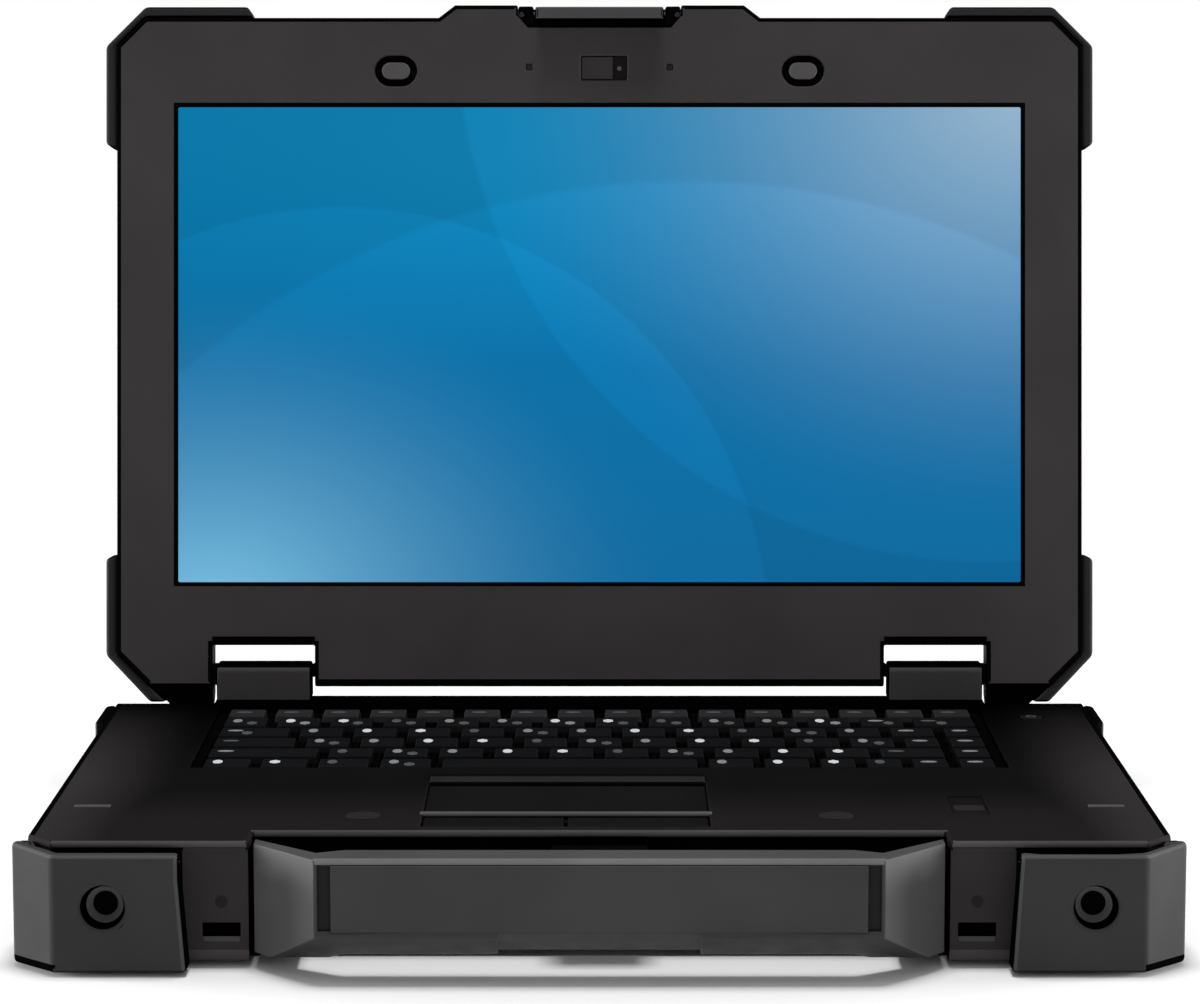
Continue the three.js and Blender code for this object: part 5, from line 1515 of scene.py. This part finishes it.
def build_stage(light):
    """Pale floor, soft studio light and the camera."""
    scene = bpy.context.scene
    scene.view_settings.view_transform = "Standard"
    deselect_all()
    bpy.ops.mesh.primitive_plane_add(size=14, location=(0, 0, -0.2 * MM))
    floor = bpy.context.active_object
    floor.name = "floor"
    material, tree, output, place_coords = start_material("white_sweep")
    paper = add(
        tree, "ShaderNodeBsdfDiffuse",
        inputs={"Color": linear("#f0f0f0"), "Roughness": 0.5},
    )
    glow = add(tree, "ShaderNodeEmission", inputs={"Color": (1, 1, 1, 1), "Strength": 1.0})
    reach_x, reach_y = 0.8, 0.6
    away = add(
        tree, "ShaderNodeMapping",
        inputs={"Vector": place_coords, "Scale": (1 / reach_x, 1 / reach_y, 0.0)},
    )
    ball = add(
        tree, "ShaderNodeTexGradient",
        settings={"gradient_type": "SPHERICAL"},
        inputs={"Vector": away.outputs["Vector"]},
    )
    # Paper shows round the object; farther off, the floor fades to plain white
    edge = add(
        tree, "ShaderNodeMapRange",
        settings={"interpolation_type": "SMOOTHSTEP"},
        inputs={
            "Value": ball.outputs["Fac"], "From Min": 0.0, "From Max": 0.4, "To Min": 1.0,
            "To Max": 0.0,
        },
    )
    path = add(tree, "ShaderNodeLightPath")
    seen = add(
        tree, "ShaderNodeMath",
        settings={"operation": "MULTIPLY"},
        inputs={0: edge.outputs["Result"], 1: path.outputs["Is Camera Ray"]},
    )
    mix = add(
        tree, "ShaderNodeMixShader",
        inputs={
            "Fac": seen.outputs["Value"], 1: paper.outputs["BSDF"], 2: glow.outputs["Emission"],
        },
    )
    tree.links.new(mix.outputs["Shader"], output.inputs["Surface"])
    floor.data.materials.append(material)

    world = bpy.data.worlds.new("studio")
    scene.world = world
    world.use_nodes = True
    tree = world.node_tree
    tree.nodes.clear()
    output = add(tree, "ShaderNodeOutputWorld")
    room = add(
        tree, "ShaderNodeBackground",
        inputs={"Color": (1, 1, 1, 1), "Strength": light.room},
    )
    white = add(tree, "ShaderNodeBackground", inputs={"Color": (1, 1, 1, 1), "Strength": 1.0})
    path = add(tree, "ShaderNodeLightPath")
    mix = add(
        tree, "ShaderNodeMixShader",
        inputs={
            "Fac": path.outputs["Is Camera Ray"], 1: room.outputs["Background"],
            2: white.outputs["Background"],
        },
    )
    tree.links.new(mix.outputs["Shader"], output.inputs["Surface"])

    def softbox(name, at, target, width, height, power):
        data = bpy.data.lights.new(name, "AREA")
        data.shape = "RECTANGLE"
        data.size = width
        data.size_y = height
        data.energy = power
        lamp = bpy.data.objects.new(name, data)
        scene.collection.objects.link(lamp)
        lamp.location = at
        aim = Vector(target) - Vector(at)
        lamp.rotation_euler = aim.to_track_quat("-Z", "Y").to_euler()

    softbox("overhead_softbox", (0, -0.1, 1.8), (0, -0.1, 0), 0.5, 0.5, light.top)
    for side in SIDES:
        softbox(
            f"side_softbox_{side}", (SIGN[side] * 1.1, 0.06, 0.13),
            (SIGN[side] * 0.17, -0.12, 0.03), 0.35, 0.2, light.side,
        )

    camera_data = bpy.data.cameras.new("photo_camera")
    camera_data.sensor_width = 36
    camera_data.sensor_fit = "HORIZONTAL"
    camera_data.lens = 117.78
    camera_data.clip_end = 50
    camera = bpy.data.objects.new("photo_camera", camera_data)
    scene.collection.objects.link(camera)
    camera.location = (0.0002, -1.31419, 0.3003)
    camera.rotation_euler = (math.radians(90) - LID_LEAN, 0, 0)
    scene.camera = camera


# Operators and panel


def mix_paint(context):
    """Makes the finishes from the chosen colours, once."""
    if not paint:
        paint.update(make_materials(context.scene.laptop_colours))


class LAPTOP_OT_stage(bpy.types.Operator):
    """Build the floor, the lights and the camera"""

    bl_idname = "laptop.build_stage"
    bl_label = "Stage"

    def execute(self, context):
        build_stage(context.scene.laptop_light)
        return {"FINISHED"}


class LAPTOP_OT_case(bpy.types.Operator):
    """Build the lower case"""

    bl_idname = "laptop.build_case"
    bl_label = "Lower case"

    def execute(self, context):
        mix_paint(context)
        build_case(context.scene.laptop_shape)
        return {"FINISHED"}


class LAPTOP_OT_deck(bpy.types.Operator):
    """Build the palm rest deck"""

    bl_idname = "laptop.build_deck"
    bl_label = "Palm rest deck"

    def execute(self, context):
        mix_paint(context)
        build_deck(context.scene.laptop_shape)
        return {"FINISHED"}


class LAPTOP_OT_bumpers(bpy.types.Operator):
    """Build the corner bumpers of the base and the strap sockets"""

    bl_idname = "laptop.build_bumpers"
    bl_label = "Base bumpers"

    def execute(self, context):
        mix_paint(context)
        build_bumpers(context.scene.laptop_shape)
        return {"FINISHED"}


class LAPTOP_OT_handle(bpy.types.Operator):
    """Build the carry handle, its grip and the latch keeper"""

    bl_idname = "laptop.build_handle"
    bl_label = "Carry handle"

    def execute(self, context):
        mix_paint(context)
        build_handle(context.scene.laptop_shape)
        return {"FINISHED"}


class LAPTOP_OT_keyboard(bpy.types.Operator):
    """Build the key caps and the grid plate"""

    bl_idname = "laptop.build_keyboard"
    bl_label = "Keyboard"

    def execute(self, context):
        mix_paint(context)
        build_keyboard(context.scene.laptop_shape)
        return {"FINISHED"}


class LAPTOP_OT_touchpad(bpy.types.Operator):
    """Build the touchpad, its buttons, the fingerprint reader and the power button"""

    bl_idname = "laptop.build_touchpad"
    bl_label = "Touchpad and buttons"

    def execute(self, context):
        mix_paint(context)
        build_touchpad()
        return {"FINISHED"}


class LAPTOP_OT_hinges(bpy.types.Operator):
    """Build the hinge towers and the cheeks beside them"""

    bl_idname = "laptop.build_hinges"
    bl_label = "Hinge towers"

    def execute(self, context):
        mix_paint(context)
        build_hinges()
        return {"FINISHED"}


class LAPTOP_OT_lid(bpy.types.Operator):
    """Build the lid shell, bezel, bumpers and pads"""

    bl_idname = "laptop.build_lid"
    bl_label = "Lid"

    def execute(self, context):
        mix_paint(context)
        build_lid(context.scene.laptop_shape)
        return {"FINISHED"}


class LAPTOP_OT_screen(bpy.types.Operator):
    """Build the display"""

    bl_idname = "laptop.build_screen"
    bl_label = "Display"

    def execute(self, context):
        mix_paint(context)
        build_screen()
        return {"FINISHED"}


class LAPTOP_OT_camera_latch(bpy.types.Operator):
    """Build the camera shutter, the lens and the latch lever"""

    bl_idname = "laptop.build_camera_latch"
    bl_label = "Camera and latch"

    def execute(self, context):
        mix_paint(context)
        build_camera_and_latch()
        return {"FINISHED"}


class LAPTOP_OT_underside(bpy.types.Operator):
    """Build the feet, the battery latch and the port doors"""

    bl_idname = "laptop.build_underside"
    bl_label = "Underside and doors"

    def execute(self, context):
        mix_paint(context)
        build_underside(context.scene.laptop_shape)
        return {"FINISHED"}


class LAPTOP_OT_inner(bpy.types.Operator):
    """Finish the boards, fan, battery, drive and other inner pieces"""

    bl_idname = "laptop.dress_inner"
    bl_label = "Inner pieces"

    def execute(self, context):
        mix_paint(context)
        dress_inner_nodes()
        return {"FINISHED"}


OPERATORS = (
    LAPTOP_OT_stage,
    LAPTOP_OT_case,
    LAPTOP_OT_deck,
    LAPTOP_OT_bumpers,
    LAPTOP_OT_handle,
    LAPTOP_OT_keyboard,
    LAPTOP_OT_touchpad,
    LAPTOP_OT_hinges,
    LAPTOP_OT_lid,
    LAPTOP_OT_screen,
    LAPTOP_OT_camera_latch,
    LAPTOP_OT_underside,
    LAPTOP_OT_inner,
)
SETTINGS = {
    "laptop_shape": LaptopShapeSettings, "laptop_colours": LaptopColourSettings,
    "laptop_light": LaptopLightSettings,
}


class LAPTOP_PT_sidebar(bpy.types.Panel):
    """Lists the settings and the operators in the 3D view's sidebar"""

    bl_label = "Rugged laptop"
    bl_idname = "LAPTOP_PT_sidebar"
    bl_space_type = "VIEW_3D"
    bl_region_type = "UI"
    bl_category = "Laptop"

    def draw(self, context):
        column = self.layout.column()
        for group, kind in SETTINGS.items():
            for name in kind.__annotations__:
                column.prop(getattr(context.scene, group), name)
        for operator in OPERATORS:
            column.operator(operator.bl_idname)


CLASSES = (*SETTINGS.values(), *OPERATORS, LAPTOP_PT_sidebar)


def register():
    for item in CLASSES:
        bpy.utils.register_class(item)
    for group, kind in SETTINGS.items():
        setattr(bpy.types.Scene, group, PointerProperty(type=kind))


def unregister():
    for group in SETTINGS:
        delattr(bpy.types.Scene, group)
    for item in reversed(CLASSES):
        bpy.utils.unregister_class(item)


def main():
    register()
    deselect_all()
    for operator in OPERATORS:
        group, name = operator.bl_idname.split(".")
        getattr(getattr(bpy.ops, group), name)()
    deselect_all()


if __name__ == "__main__":
    main()
